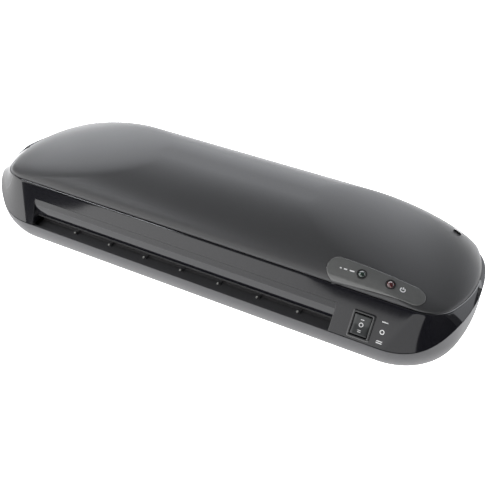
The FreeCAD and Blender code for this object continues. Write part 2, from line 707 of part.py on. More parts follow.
def gear(label, teeth, spot, bore, turn):
    """Spur gear as a body: a root disc, one tooth patterned round it, and a bore."""
    body = doc.addObject("PartDesign::Body", label)
    plane = [f for f in body.Origin.OriginFeatures if f.Role == "XY_Plane"][0]

    def sketch_on(name):
        sketch = body.newObject("Sketcher::SketchObject", f"{label}_{name}")
        sketch.AttachmentSupport = [(plane, "")]
        sketch.MapMode = "FlatFace"
        return sketch

    def pad_of(name, sketch):
        pad = body.newObject("PartDesign::Pad", f"{label}_{name}")
        pad.Profile = sketch
        pad.setExpression("Length", ex("gear_wide"))
        return pad

    root = f"gear_module * ({teeth} / 2 - 1)"
    tip = f"gear_module * ({teeth} / 2 + 0.7)"
    ring = sketch_on("ring")
    for i, size in enumerate((root, bore)):
        ring.addGeometry(Part.Circle(Vector(0, 0, 0), Vector(0, 0, 1), val(size)))
        ring.addConstraint(Sketcher.Constraint("Coincident", i, 3, -1, 1))
        bind(ring, "Radius", (i,), size)
    pad_of("disc", ring)
    tooth = sketch_on("tooth")
    inner = f"({root} - 0.2 * gear_module)"
    corners = [(inner, "-0.95 * gear_module"), (tip, "-0.36 * gear_module"),
               (tip, "0.36 * gear_module"), (inner, "0.95 * gear_module")]
    spots = [Vector(val(x), val(y), 0) for x, y in corners]
    for i in range(4):
        tooth.addGeometry(Part.LineSegment(spots[i], spots[(i + 1) % 4]))
    for i in range(4):
        tooth.addConstraint(Sketcher.Constraint("Coincident", i, 2, (i + 1) % 4, 1))
        bind(tooth, "DistanceX", (-1, 1, i, 1), corners[i][0])
        bind(tooth, "DistanceY", (-1, 1, i, 1), corners[i][1])
    first = pad_of("first_tooth", tooth)
    doc.recompute()
    pattern = body.newObject("PartDesign::PolarPattern", label + "_teeth")
    pattern.Originals = [first]
    pattern.Axis = (ring, ["N_Axis"])
    pattern.Angle = 360
    pattern.setExpression("Occurrences", ex(teeth))
    body.Tip = pattern
    place(body, spot, f"rotation(vector(0; 1; 0); 90 deg) * rotation(vector(0; 0; 1); {turn} * 1 deg)")
    return node(label, body)


def drive():
    """Gear train from the motor pinion over an idler to the two rollers."""
    half_pitch = "(180 / gear_teeth)"
    gear("lower_roller_gear", "gear_teeth", ("gear_x", "roller_y", "axle_low"), "shaft_size", "0")
    gear("upper_roller_gear", "gear_teeth", ("gear_x", "roller_y", "axle_high"), "shaft_size", half_pitch)
    gear("idler_gear", "gear_teeth", ("gear_x", "idler_y", "axle_low"), "3 + run_gap", half_pitch)
    gear("motor_pinion", "pinion_teeth", ("gear_x", "idler_y", "motor_z"), "motor_shaft", "0")
    node("idler_pin", rod("idler_pin", "X", ("right_face", "idler_y", "axle_low"), "3",
                          "gear_play + gear_wide + 1.5"))
    clip = rod("clip_disc", "X", ("gear_x + gear_wide + fit_gap", "idler_y", "axle_low"), "4.6", "0.8")
    hole = rod("clip_hole", "X", ("gear_x + gear_wide", "idler_y", "axle_low"), "3", "3")
    node("idler_clip", cut("idler_clip", clip, hole))
    node("motor_shaft", rod("motor_shaft_rod", "X", ("gear_x - 0.5", "idler_y", "motor_z"), "motor_shaft",
                            "bracket_x + 4 - gear_x"))


def motor_posts(name, start, size, long):
    spots = (("idler_y + 14", "axle_low"), ("idler_y + 14", "motor_z + 11"), ("idler_y - 7", "motor_z + 15.5"))
    return [rod(f"{name}_{i}", "X", (start, y, z), size, long) for i, (y, z) in enumerate(spots)]


def motor():
    plate = block("bracket_plate", ("bracket_x - 2", "idler_y - 17", "axle_low - 4.5"),
                  ("bracket_x", "idler_y + 18", "motor_z + 19"))
    opening = rod("bracket_opening", "X", ("bracket_x - 3", "idler_y", "motor_z"), "5", "4")
    spots = (("idler_y + 13", "motor_z"), ("idler_y", "motor_z + 13"))
    holes = [rod(f"bracket_hole_{i}", "X", ("bracket_x - 3", y, z), "1.35", "9")
             for i, (y, z) in enumerate(spots)]
    node("motor_bracket", cut("motor_bracket", plate, opening, *holes))
    can = rod("motor_can", "X", ("bracket_x", "idler_y", "motor_z"), "motor_size", "motor_long")
    boss = rod("motor_boss", "X", ("bracket_x - 2", "idler_y", "motor_z"), "5", "2.5")
    well = rod("motor_well", "X", ("bracket_x - 3", "idler_y", "motor_z"), "motor_shaft + run_gap", "8")
    node("drive_motor", cut("drive_motor", fuse("motor_full", can, boss), well, *holes))
    posts_list = motor_posts("motor_standoff", "right_face", "3", "bracket_x - 2 - right_face")
    node("motor_standoffs", group("motor_standoffs", posts_list))
    screws = []
    for i, (y, z) in enumerate(spots):
        head = rod(f"motor_screw_head_{i}", "X", ("bracket_x - 3.4", y, z), "2.4", "1.4")
        shank = rod(f"motor_screw_shank_{i}", "X", ("bracket_x - 2.5", y, z), "1.25", "7")
        screws.append(fuse(f"motor_screw_{i}", head, shank))
    node("motor_screws", group("motor_screws", screws))


# ---------------------------------------------------------------- heater

def heater():
    left, right = "slot_left + 1.5", "slot_right - 1.5"
    edges = (("lower", "plate_low - plate_thick", "plate_low", "plate_low - plate_thick - 3"),
             ("upper", "plate_high", "plate_high + plate_thick", "plate_high + plate_thick + 3"))
    insulators = []
    for label, low, high, rim in edges:
        sheet_part = block(f"{label}_sheet", (left, "plate_front", low), (right, "plate_back", high))
        near, far = (rim, high) if label == "lower" else (low, rim)
        flange = block(f"{label}_flange", (left, "plate_back - plate_thick", near), (right, "plate_back", far))
        node(f"{label}_heater_plate", fuse(f"{label}_heater_plate", sheet_part, flange))
        for side, start, end in (("left", "frame_left", left), ("right", right, "frame_right")):
            insulators.append(block(f"insulator_{label}_{side}", (start, "plate_front", near),
                                    (end, "plate_back", far)))
    node("plate_insulators", group("plate_insulators", insulators))
    middle = "(plate_front + plate_back) / 2"
    for label, low in (("lower", "plate_low - plate_thick - strip_thick"),
                       ("upper", "plate_high + plate_thick")):
        node(f"{label}_heating_strip", block(f"{label}_heating_strip",
             ("slot_mid - 106", f"{middle} - strip_half", low),
             ("slot_mid + 106", f"{middle} + strip_half", f"{low} + strip_thick")))
    top = "plate_high + plate_thick + strip_thick"
    shield = block("shield_top", ("frame_left", "-27", "shield_z"), ("frame_right", "plate_back", "shield_z + 0.8"))
    lip = block("shield_lip", ("frame_left", "-27", "shield_z - 6"), ("frame_right", "-26.2", "shield_z + 0.8"))
    node("heat_shield", fuse("heat_shield", shield, lip))
    node("thermostat", fuse("thermostat", rod("thermostat_can", "Z", ("-20", f"{middle} + 5", top), "6.5", "4"),
                            rod("thermostat_cap", "Z", ("-20", f"{middle} + 5", top), "4", "6.5")))
    node("thermal_fuse", rod("thermal_fuse", "X", ("34", middle, f"{top} + 1.6"), "1.6", "14"))


# ---------------------------------------------------------------- controls

def switch():
    wide, high = "switch_half_wide", "switch_half_high"
    flange = block("switch_flange", (f"-{wide}", f"-{high}", "0"), (wide, high, "1.3"), SWITCH)
    body = block("switch_box", (f"-{wide} + 1", f"-{high} + 1", "-switch_deep"), (f"{wide} - 1", f"{high} - 1", "0.5"), SWITCH)
    across, up = "rocker_half_wide + fit_gap", "rocker_half_high + rocker_play"
    well = block("switch_well", (f"-({across})", f"-({up})", "-7"), (across, up, "3"), SWITCH)
    pin = rod("switch_pin", "X", (f"-{wide} + 1", "0", "rocker_pin_out"), "rocker_pin", f"2 * {wide} - 2", SWITCH)
    node("switch_body", fuse("switch_body", cut("switch_case", fuse("switch_full", flange, body), well), pin))
    end = "rocker_half_high"
    sides = [(f"-{end}", "2.0"), ("0", "1.0"), (end, "2.0"), ("6", "-1.5"), ("3", "-3.9"),
             ("-3", "-3.9"), ("-6", "-1.5")]
    key = prism("rocker_key", sides, "-rocker_half_wide", "rocker_half_wide", SWITCH)
    hole = rod("rocker_hole", "X", ("-10", "0", "rocker_pin_out"), "rocker_pin + run_gap", "20", SWITCH)
    node("switch_rocker", cut("switch_rocker", key, hole))
    blades = [block(f"blade_{i}", ("-2.4", f"{i} * 5 - 0.4", "-switch_deep - 5"), ("2.4", f"{i} * 5 + 0.4", "-switch_deep"), SWITCH) for i in (-1, 0, 1)]
    node("switch_terminals", group("switch_terminals", blades))


def window():
    tray = cut("window_shell", common("window_blank", window_prism("window_body", "0.15", "14"), dome_outer),
               dome_skin)
    node("indicator_window", cut("indicator_window", tray, *lamp_rods("window_lamp_cut", "lamp_size + 0.1",
                                                                      "-12", "24")))
    for i, label in enumerate(("green_lamp", "red_lamp")):
        x = ("lamp_green_x", "lamp_red_x")[i]
        stem = rod(label + "_stem", "Z", (f"{x} - window_x", "0", "-7"), "lamp_size", "7.2", WINDOW)
        ball = doc.addObject("Part::Sphere", label + "_ball")
        ball.setExpression("Radius", ex("lamp_size"))
        place(ball, (f"{x} - window_x", "0", "-1.4"), frame=WINDOW)
        node(label, fuse(label, stem, ball))
    node("indicator_board", block("indicator_board", ("-18", "-4.5", "-8.6"), ("18", "4.5", "-7"), WINDOW))


def release():
    knob = block("release_cap", ("-3", "-4.2", "fit_gap"), ("6", "4.2", "3.4"), RELEASE)
    stem = block("release_stem", ("0", "-1.2", "-7"), ("3", "1.2", "fit_gap + 1"), RELEASE)
    node("release_knob", fuse("release_knob", knob, stem))
    node("release_bar", block("release_bar", ("-12", "-3.5", "-8.5"), ("5", "3.5", "-7"), RELEASE))


# ---------------------------------------------------------------- board, gland, feet, screws

def board():
    far_x, far_y = "board_x + board_wide", "board_y + board_deep"
    plate = block("board_plate", ("board_x", "board_y", "board_z"), (far_x, far_y, "board_z + board_thick"))
    holes = [rod(f"board_hole_{i}", "Z", (x, y, "board_z - 1"), "1.2", "4") for i, (x, y) in enumerate(board_posts())]
    node("circuit_board", cut("circuit_board", plate, *holes))
    top = "board_z + board_thick"
    node("terminal_block", block("terminal_block", ("board_x + 8", "board_y + 25", top),
                                 ("board_x + 26", "board_y + 33", f"{top} + 7.5")))
    node("capacitor", rod("capacitor", "Z", ("board_x + 10", "board_y + 12", top), "4", "10"))
    node("drop_resistor", block("drop_resistor", ("board_x + 18", "board_y + 9", top),
                                ("board_x + 28", "board_y + 14", f"{top} + 5")))
    screws = []
    for i, (x, y) in enumerate(board_posts()):
        head = rod(f"board_screw_head_{i}", "Z", (x, y, top), "2.1", "1.3")
        shank = rod(f"board_screw_shank_{i}", "Z", (x, y, f"{top} - 6"), "1", "6.5")
        screws.append(fuse(f"board_screw_{i}", head, shank))
    node("board_screws", group("board_screws", screws))


def cord_gland():
    barrel = rod("gland_barrel", "Y", ("gland_x", "half_depth - 12", "gland_z"), "gland_bore + 1.5", "12")
    nut = rod("gland_nut", "Y", ("gland_x", "half_depth - 12", "gland_z"), "gland_bore + 3", "3")
    bore = rod("gland_hole", "Y", ("gland_x", "half_depth - 15", "gland_z"), "gland_bore", "20")
    node("cord_gland", cut("cord_gland", fuse("gland_full", barrel, nut), bore))


def feet_and_screws():
    feet = []
    for i in MIRROR:
        for j in MIRROR:
            spot = (f"{i} * foot_x", f"{j} * foot_y")
            pad = rod(f"foot_pad_{i}_{j}", "Z", (*spot, "0"), "foot_size", "foot_drop")
            stud = rod(f"foot_stud_{i}_{j}", "Z", (*spot, "0"), "2", "floor_z")
            feet.append(fuse(f"foot_{i}_{j}", pad, stud))
    node("rubber_feet", group("rubber_feet", feet))
    heads = posts("cover_screw_head", "screw_head", "foot_drop + 2", "2")
    shanks = posts("cover_screw_shank", "screw_size", "foot_drop + 3", "parting_z - foot_drop + 4")
    node("cover_screws", group("cover_screws", [fuse(f"cover_screw_{i}", head, shank)
                                                for i, (head, shank) in enumerate(zip(heads, shanks))]))
    screws = []
    for i, (x, y) in enumerate(frame_feet()):
        head = rod(f"frame_screw_head_{i}", "Z", (x, y, "floor_z + frame_plate"), "screw_head", "1.8")
        shank = rod(f"frame_screw_shank_{i}", "Z", (x, y, "foot_drop + 0.5"), "screw_size", "floor_wall + 1.5")
        screws.append(fuse(f"frame_screw_{i}", head, shank))
    node("frame_screws", group("frame_screws", screws))


base_housing()
front_bezel()
top_cover()
entry_tray()
exit_guide()
side_frame("left_frame", "left_face", "frame_left", -1, "roller_y + 20")
side_frame("right_frame", "frame_right", "right_face", 1, "idler_y + 19")
roller("lower_roller", "axle_low", 1)
roller("upper_roller", "axle_high", 1)
roller_bushes()
bearing_blocks()
pressure_springs()
drive()
motor()
heater()
switch()
window()
release()
board()
cord_gland()
feet_and_screws()
doc.recompute()

for obj in doc.Objects:
    if "Invalid" in obj.State or "Error" in obj.State:
        raise RuntimeError(f"{obj.Name} did not build")
for label, obj in NODES.items():
    if obj.Shape.isNull() or not obj.Shape.isValid():
        raise RuntimeError(f"{label} has no valid shape")
os.makedirs("parts", exist_ok=True)
for label, obj in NODES.items():
    obj.Shape.exportStep(f"parts/{label}.step")
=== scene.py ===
import json
import math
from functools import partial

import bpy
import numpy as np
from mathutils import Matrix, Vector


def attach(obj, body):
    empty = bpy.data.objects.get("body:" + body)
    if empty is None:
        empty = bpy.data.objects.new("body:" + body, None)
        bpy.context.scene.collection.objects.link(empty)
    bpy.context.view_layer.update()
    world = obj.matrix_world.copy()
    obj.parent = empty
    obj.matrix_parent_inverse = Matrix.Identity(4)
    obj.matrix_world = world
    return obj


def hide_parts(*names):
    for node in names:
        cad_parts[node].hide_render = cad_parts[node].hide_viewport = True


bl_info = {
    "name": "Pouch Laminator",
    "version": (1, 0, 0),
    "blender": (4, 5, 0),
    "location": "View3D > Sidebar > Laminator",
    "description": "Builds the visible shells, controls and studio of a pouch laminator on its CAD frame",
    "category": "Object",
}

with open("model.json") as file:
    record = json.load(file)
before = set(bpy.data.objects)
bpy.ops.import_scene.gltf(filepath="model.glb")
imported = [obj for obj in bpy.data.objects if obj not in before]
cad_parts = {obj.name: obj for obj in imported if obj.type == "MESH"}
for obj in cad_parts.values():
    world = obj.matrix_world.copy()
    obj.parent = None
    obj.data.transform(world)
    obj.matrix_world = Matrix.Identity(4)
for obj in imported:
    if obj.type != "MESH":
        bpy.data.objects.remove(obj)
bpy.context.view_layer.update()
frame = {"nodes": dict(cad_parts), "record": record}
MM = 0.001
ROOT = "chassis"


def length(name, description, millimetres):
    """A size property in metres with a default given in millimetres."""
    return bpy.props.FloatProperty(name=name, description=description, unit="LENGTH",
                                   default=millimetres * MM, precision=5)


def angle(name, description, degrees):
    """An angle property with a default given in degrees."""
    return bpy.props.FloatProperty(name=name, description=description, unit="ROTATION",
                                   default=math.radians(degrees))


def colour(name, description, rgb):
    """A linear colour property."""
    return bpy.props.FloatVectorProperty(name=name, description=description, subtype="COLOR",
                                         size=3, min=0.0, max=1.0, default=rgb)


def amount(name, description, value):
    """A plain number property."""
    return bpy.props.FloatProperty(name=name, description=description, default=value)


class LaminatorShell(bpy.types.PropertyGroup):
    """Sizes of the base, bezel and cover."""
    half_length: length("Half length", "Widest half length of the base", 183.9)
    half_depth: length("Half depth", "Half depth at the seam", 63.75)
    end_bow: length("End bow", "How far the ends bulge", 17.2)
    corner: length("Corner", "Plan radius of the corners at the seam", 45.0)
    foot_drop: length("Foot drop", "Height of the base above the table", 2.0)
    under_side: length("Under side", "How far the base draws in under the ends", 4.0)
    under_front: length("Under front", "How far the base draws in under the front and back", 6.2)
    seam_low: length("Seam height in front", "Seam above the table along the front", 20.8)
    seam_high: length("Seam height at the ends", "Seam above the table at the ends", 34.8)
    seam_from: length("Seam climb start", "Where the seam starts to climb", -64.0)
    seam_to: length("Seam climb end", "Where the seam stops climbing", -31.2)
    seam_gap: length("Seam gap", "Open width of the seam", 0.8)
    crease_z: length("Crease height", "Crease plane above the table in the middle", 35.3)
    crease_tilt: angle("Crease tilt", "How far the crease plane leans to the back", 9.8)
    crease_half: length("Crease half length", "Half length of the cover's edge", 181.0)
    crease_front: length("Crease front", "Front of the cover's edge in its plane", -44.6)
    crease_back: length("Crease back", "Back of the cover's edge in its plane", 63.05)
    crease_bow: length("Crease bow", "How far the ends of the cover bulge", 15.4)
    crease_near: length("Crease front corner", "Front corner radius of the cover", 23.0)
    crease_far: length("Crease back corner", "Back corner radius of the cover", 24.4)
    top_z: length("Top", "Highest point of the cover", 61.95)
    end_run: length("End run", "Length over which the cover runs down to its ends", 119.0)
    ridge_y: length("Ridge", "Where the top of the cover lies from front to back", 11.7)
    ridge_half: length("Ridge half width", "Half the width of the flat top", 5.0)
    end_power: amount("End curve", "Fullness of the cover towards its ends", 1.46)
    front_power: amount("Front curve", "Fullness of the cover towards the front", 1.9)
    back_power: amount("Back curve", "Fullness of the cover towards the back", 2.0)


class LaminatorSlots(bpy.types.PropertyGroup):
    """Sizes of the entry recess, its hood and the exit."""
    left: length("Left end", "Left end of the entry", -131.0)
    right: length("Right end", "Right end of the entry", 103.3)
    flare: length("Flare", "How far the left wall leans outwards", 4.5)
    hood_y: length("Hood edge", "Where the hood leaves the front band", -51.0)
    lip_y: length("Lip depth", "Where the lip of the hood lies", -54.6)
    lip_z: length("Lip height", "Top edge of the lip above the table", 24.3)
    lip_drop: length("Lip drop", "Height of the lip", 1.9)
    exit_left: length("Exit left", "Left end of the exit opening", -132.0)
    exit_right: length("Exit right", "Right end of the exit opening", 104.3)
    exit_low: length("Exit bottom", "Underside of the exit opening", 17.2)
    exit_high: length("Exit top", "Top of the exit opening", 23.9)
    cord_x: length("Cord entry", "Where the cord entry lies along the back", 112.0)
    cord_z: length("Cord entry height", "Cord entry above the table", 13.0)
    cord_hole: length("Cord entry hole", "Radius of the hole in the back wall", 4.8)


class LaminatorControls(bpy.types.PropertyGroup):
    """Sizes of the switch, lamp window and release slide."""
    switch_x: length("Switch", "Switch centre along the front", 122.8)
    switch_slope: length("Switch height", "Switch centre up the band from the seam", 10.2)
    switch_wide: length("Switch half width", "Half the width of the switch frame", 7.5)
    switch_high: length("Switch half height", "Half the height of the switch frame", 8.9)
    rocker_wide: length("Rocker half width", "Half the width of the rocker", 5.4)
    rocker_high: length("Rocker half height", "Half the height of the rocker", 6.4)
    rocker_deep: length("Rocker depth", "How far the rocker reaches below the band", 2.5)
    swing_room: length("Swing room", "Room at the rocker's ends for its tilt", 0.75)
    window_x: length("Window", "Lamp window centre along X", 122.8)
    window_y: length("Window depth", "Lamp window centre along Y", -36.3)
    window_z: length("Window height", "Lamp window centre above the table", 51.0)
    window_lean: angle("Window lean", "How far the window leans back", 20.0)
    window_roll: angle("Window roll", "How far the window tips to the right", 4.5)
    window_half: length("Window half length", "Half the length of the window", 32.6)
    window_size: length("Window half width", "Half the width of the window", 7.0)
    lamp_size: length("Lamp", "Radius of a lamp", 2.7)
    lamp_green: length("Green lamp", "Green lamp along X", 113.3)
    lamp_red: length("Red lamp", "Red lamp along X", 132.3)
    release_x: length("Release", "Release slide along X", 150.5)
    release_y: length("Release depth", "Release slide along Y", 48.5)
    release_z: length("Release height", "Release slide above the table", 38.9)
    release_lean: angle("Release lean", "How far the slide leans forward", -23.8)
    release_roll: angle("Release roll", "How far the slide tips to the right", 19.3)


class LaminatorFinish(bpy.types.PropertyGroup):
    """Colours of the plastics."""
    cover: colour("Cover", "Satin black of the cover", (0.036, 0.036, 0.037))
    bezel: colour("Bezel", "Piano black of the front band", (0.006, 0.006, 0.008))
    base: colour("Base", "Charcoal of the base", (0.043, 0.043, 0.046))
    inside: colour("Inside", "Black of the slot and gaps", (0.004, 0.004, 0.004))
    tray: colour("Tray", "Dark grey of the entry tray", (0.030, 0.030, 0.030))
    rocker: colour("Rocker", "Grained black of the rocker", (0.016, 0.018, 0.018))
    frame: colour("Switch frame", "Black of the switch frame and slide", (0.010, 0.010, 0.011))
    window: colour("Window", "Dark grey of the lamp window", (0.095, 0.096, 0.094))
    # The tip colour is a painted highlight: pale grey that stands in for glints of light on the rounded rib
    # noses.
    tip: colour("Tip", "Pale grey painted as glints of light on the rib tips", (0.55, 0.55, 0.53))
    mark: colour("Mark", "Light grey of the printed marks", (0.62, 0.62, 0.62))
    green: colour("Green lens", "Unlit green lens", (0.002, 0.014, 0.008))
    red: colour("Red lens", "Unlit red lens", (0.050, 0.003, 0.004))
    floor: colour("Floor", "Pale studio floor", (0.90, 0.90, 0.90))


# ---- shapes: s, c, k and f are the groups of the shell, the slots, the controls and the finish

def arcs(half, front, back, bow, near, far):
    """Middle depth, radius, hub, first and last angle of an outline's end arc, and its straights' ends.

    The end arc stands out by the bow: its radius is (d^2 + b^2) / 2b for half depth d and bow b.  A
    corner arc touches it where the two centres lie apart by the difference of the two radii.
    """
    middle = (front + back) / 2
    deep = (back - front) / 2
    arc = (deep ** 2 + bow ** 2) / (2 * bow)
    hub = half - arc
    near_x = hub + np.sqrt((arc - near) ** 2 - (front + near - middle) ** 2)
    far_x = hub + np.sqrt((arc - far) ** 2 - (back - far - middle) ** 2)
    low = np.arctan2(front + near - middle, near_x - hub)
    high = np.arctan2(back - far - middle, far_x - hub)
    return middle, arc, hub, low, high, near_x, far_x


def outline(half, front, back, bow, near, far, way, side):
    """Rounded outline: a straight front, a corner arc, a bowed end arc, a corner arc and a straight back.

    way runs from 0 in the middle of the front to 5 in the middle of the back, one unit to each edge,
    and side is 1 to the right or -1 to the left.
    """
    middle, arc, hub, low, high, near_x, far_x = arcs(half, front, back, bow, near, far)
    right = math.pi / 2
    turn_near = -right + (low + right) * (way - 1)
    turn_end = low + (high - low) * (way - 2)
    turn_far = high + (right - high) * (way - 3)
    edges = [way < 1, way < 2, way < 3, way < 4]
    x = np.select(edges, [near_x * way, near_x + near * np.cos(turn_near), hub + arc * np.cos(turn_end),
                          far_x + far * np.cos(turn_far)], far_x * (5 - way))
    y = np.select(edges, [front + 0 * way, front + near + near * np.sin(turn_near),
                          middle + arc * np.sin(turn_end), back - far + far * np.sin(turn_far)], back)
    return x * side, y


def within(half, front, back, bow, near, far, x, y):
    """True where a point lies between the straights and the end arcs, and not outside a corner arc."""
    x = np.abs(x)
    middle, arc, hub, low, high, near_x, far_x = arcs(half, front, back, bow, near, far)
    inside = (y > front) & (y < back) & ((x - hub) ** 2 + (y - middle) ** 2 < arc ** 2)
    at_near = (x > near_x) & (np.arctan2(y - front - near, x - near_x) < low)
    at_far = (x > far_x) & (np.arctan2(y - back + far, x - far_x) > high)
    inside &= ~(at_near & ((x - near_x) ** 2 + (y - front - near) ** 2 > near ** 2))
    inside &= ~(at_far & ((x - far_x) ** 2 + (y - back + far) ** 2 > far ** 2))
    return inside


def level(s, share, inset=0.0):
    """Sizes of the cover's outline at a share of its height.

    Each side runs in by its own superellipse, 1 - (1 - share^p)^(1/p), from the crease to the ridge.
    The bow and the corners grow with the share, up to a top that is nearly a circle at each end.
    """
    top_bow, top_corner = 0.8, 0.9
    share = np.clip(share, 0.0, 1.0)
    run = [1 - (1 - share ** p) ** (1 / p) for p in (s.end_power, s.front_power, s.back_power)]
    start, stop = s.crease_front + inset, s.crease_back - inset
    front = start + (s.ridge_y - s.ridge_half - start) * run[1]
    back = stop - (stop - s.ridge_y - s.ridge_half) * run[2]
    deep = (back - front) / 2
    whole = (s.crease_back - s.crease_front) / 2
    return (s.crease_half - inset - s.end_run * run[0], front, back,
            deep * (s.crease_bow / whole * (1 - share) + top_bow * share),
            deep * (s.crease_near / whole * (1 - share) + top_corner * share),
            deep * (s.crease_far / whole * (1 - share) + top_corner * share))


def dome(s, share, way, side, inset=0.0):
    """Point of the cover: its outline at a share of the height, on a plane that levels out upwards."""
    x, y = outline(*level(s, share, inset), way, side)
    tilt = s.crease_tilt * (1 - share)
    z = s.crease_z + (s.top_z - s.crease_z) * share - y * np.sin(tilt)
    return np.stack([x + 0 * z, y * np.cos(tilt), z], -1)


def dome_height(s, x, y):
    """Height of the cover above a point of the plan, by halving the share of height that holds it."""
    low, high = np.zeros_like(x), np.ones_like(x)
    for _ in range(40):
        share = (low + high) / 2
        inside = within(*level(s, share), x, y / np.cos(s.crease_tilt * (1 - share)))
        low, high = np.where(inside, share, low), np.where(inside, high, share)
    tilt = s.crease_tilt * (1 - low)
    return s.crease_z + (s.top_z - s.crease_z) * low - y * np.tan(tilt)


def crease_height(s, y):
    """Height of the leaning crease plane at a depth."""
    return s.crease_z - y * math.tan(s.crease_tilt)


def seam_height(s, y):
    """Height of the seam: level along the front, then a smooth step 3t^2 - 2t^3 up to the ends."""
    t = np.clip((y - s.seam_from) / (s.seam_to - s.seam_from), 0, 1)
    return s.seam_low + (s.seam_high - s.seam_low) * t * t * (3 - 2 * t)


def widest(s, way, side):
    """Point of the widest line: the base's outline at the seam, or at the crease plane behind it."""
    x, y = outline(s.half_length, -s.half_depth, s.half_depth, s.end_bow, s.corner, s.corner, way, side)
    return np.stack([x, y, np.minimum(seam_height(s, y), crease_height(s, y))], -1)


def crease(s, way, side, inset=0.0):
    """Point of the crease, on its leaning plane."""
    x, y = outline(s.crease_half - inset, s.crease_front + inset, s.crease_back - inset, s.crease_bow,
                   s.crease_near, s.crease_far, way, side)
    return np.stack([x, y * math.cos(s.crease_tilt), s.crease_z - y * math.sin(s.crease_tilt)], -1)


def ways(*counts):
    """Stations along half an outline, with a count for each of its five edges."""
    return np.concatenate([np.arange(n) / n + i for i, n in enumerate(counts)] + [[5.0]])


def loop(way):
    """Stations and sides right round an outline, without the repeated last one."""
    side = np.concatenate([np.ones(len(way)), -np.ones(len(way) - 2)])
    return np.concatenate([way, way[-2:0:-1]]), side


def rounded(near, edge):
    """Fall of a rounded edge at a distance from it: a quarter circle of radius edge."""
    return edge * (1 - np.sqrt(1 - np.clip(1 - near / edge, 0, 1) ** 2))


def bent(start, knee, stop, t):
    """Quadratic curve: (1 - t)^2 of the start, 2t(1 - t) of the knee and t^2 of the stop."""
    return (1 - t) ** 2 * start + 2 * t * (1 - t) * knee + t ** 2 * stop


def edge_loop(grid):
    """Closed loop round the edge of a grid of points."""
    return np.concatenate([grid[0], grid[1:, -1], grid[-1, -2::-1], grid[-2:0:-1, 0]])


def even(count, *shape):
    """Evenly spaced shares from 0 to 1, down the first axis of a grid."""
    return np.linspace(0, 1, count).reshape(-1, *shape)


# ---- meshes

def sheet_faces(rows, cols, start, ring, keep):
    """Quads of a grid of points, numbered row by row."""
    r, c = np.meshgrid(np.arange(rows - 1), np.arange(cols if ring else cols - 1), indexing="ij")
    quads = np.stack([r * cols + c, r * cols + (c + 1) % cols,
                      (r + 1) * cols + (c + 1) % cols, (r + 1) * cols + c], -1)
    if keep is not None:
        quads = quads[keep]
    return quads.reshape(-1, 4) + start


def make(name, patches, coats, body=ROOT, crisp=35.0):
    """Object from patches: (grid of points, options), with ring, keep, flip and finish in the options.

    Points closer than the weld are one point, and an edge sharper than crisp degrees stays sharp.
    """
    weld = 2e-6
    points, faces, finish_of = [], [], []
    start = 0
    for grid, options in patches:
        rows, cols = grid.shape[:2]
        quads = sheet_faces(rows, cols, start, options.get("ring", False), options.get("keep"))
        if options.get("flip", False):
            quads = quads[:, ::-1]
        points.append(grid.reshape(-1, 3))
        faces.append(quads)
        finish_of.append(np.full(len(quads), options.get("finish", 0)))
        start += rows * cols
    points, faces, finish_of = map(np.concatenate, (points, faces, finish_of))
    keys = np.round(points / weld).astype(np.int64)
    _, first, same = np.unique(keys, axis=0, return_index=True, return_inverse=True)
    faces = [list(dict.fromkeys(quad)) for quad in same.reshape(-1)[faces].tolist()]
    kept = [(face, finish) for face, finish in zip(faces, finish_of.tolist()) if len(face) > 2]
    mesh = bpy.data.meshes.new(name)
    mesh.from_pydata(points[first].tolist(), [], [face for face, _ in kept])
    for coat in coats:
        mesh.materials.append(coat)
    mesh.polygons.foreach_set("material_index", [finish for _, finish in kept])
    mesh.validate()
    mesh.polygons.foreach_set("use_smooth", [True] * len(mesh.polygons))
    mesh.set_sharp_from_angle(angle=math.radians(crisp))
    mesh.update()
    obj = bpy.data.objects.new(name, mesh)
    bpy.context.collection.objects.link(obj)
    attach(obj, body)
    return obj


def leaning(spot, pitch, roll):
    """Origin and three axes of a frame leaned back about X and then rolled about its own Y."""
    turn = np.array(Matrix.Rotation(pitch, 3, "X") @ Matrix.Rotation(roll, 3, "Y"))
    return np.array(spot), turn


def local(at, a, b, c):
    """Points of a leaning frame from three local coordinates."""
    origin, turn = at
    a, b, c = np.broadcast_arrays(a, b, c)
    return origin + np.stack([a, b, c], -1) @ turn.T


def round_box(half_x, half_y, size, count=10):
    """Closed rounded rectangle of corner radius size, as X and Y arrays."""
    turn = np.linspace(0, math.pi / 2, count)
    x, y = half_x - size + size * np.cos(turn), half_y - size + size * np.sin(turn)
    return (np.concatenate([x, -x[::-1], -x, x[::-1]]), np.concatenate([y, y[::-1], -y, -y[::-1]]))


def pill(half, size, count=40):
    """Closed stadium outline, as X and Y arrays."""
    turn = np.linspace(-math.pi / 2, math.pi / 2, count)
    run = np.linspace(-1, 1, count + 2)[1:-1] * (half - size)
    x = np.concatenate([half - size + size * np.cos(turn), -run])
    y = np.concatenate([size * np.sin(turn), size + 0 * run])
    return np.concatenate([x, -x]), np.concatenate([y, -y])


# ---- finishes

def fill(node, values):
    """Set sockets of a node by name."""
    for socket, value in values.items():
        node.inputs[socket].default_value = value


def new_material(name, rgb):
    """New material with its node tree, its shader and a node for Object coordinates."""
    mat = bpy.data.materials.new(name)
    mat.use_nodes = True
    shader = mat.node_tree.nodes["Principled BSDF"]
    fill(shader, {"Base Color": (*rgb, 1)})
    return mat, mat.node_tree, shader, mat.node_tree.nodes.new("ShaderNodeTexCoord")


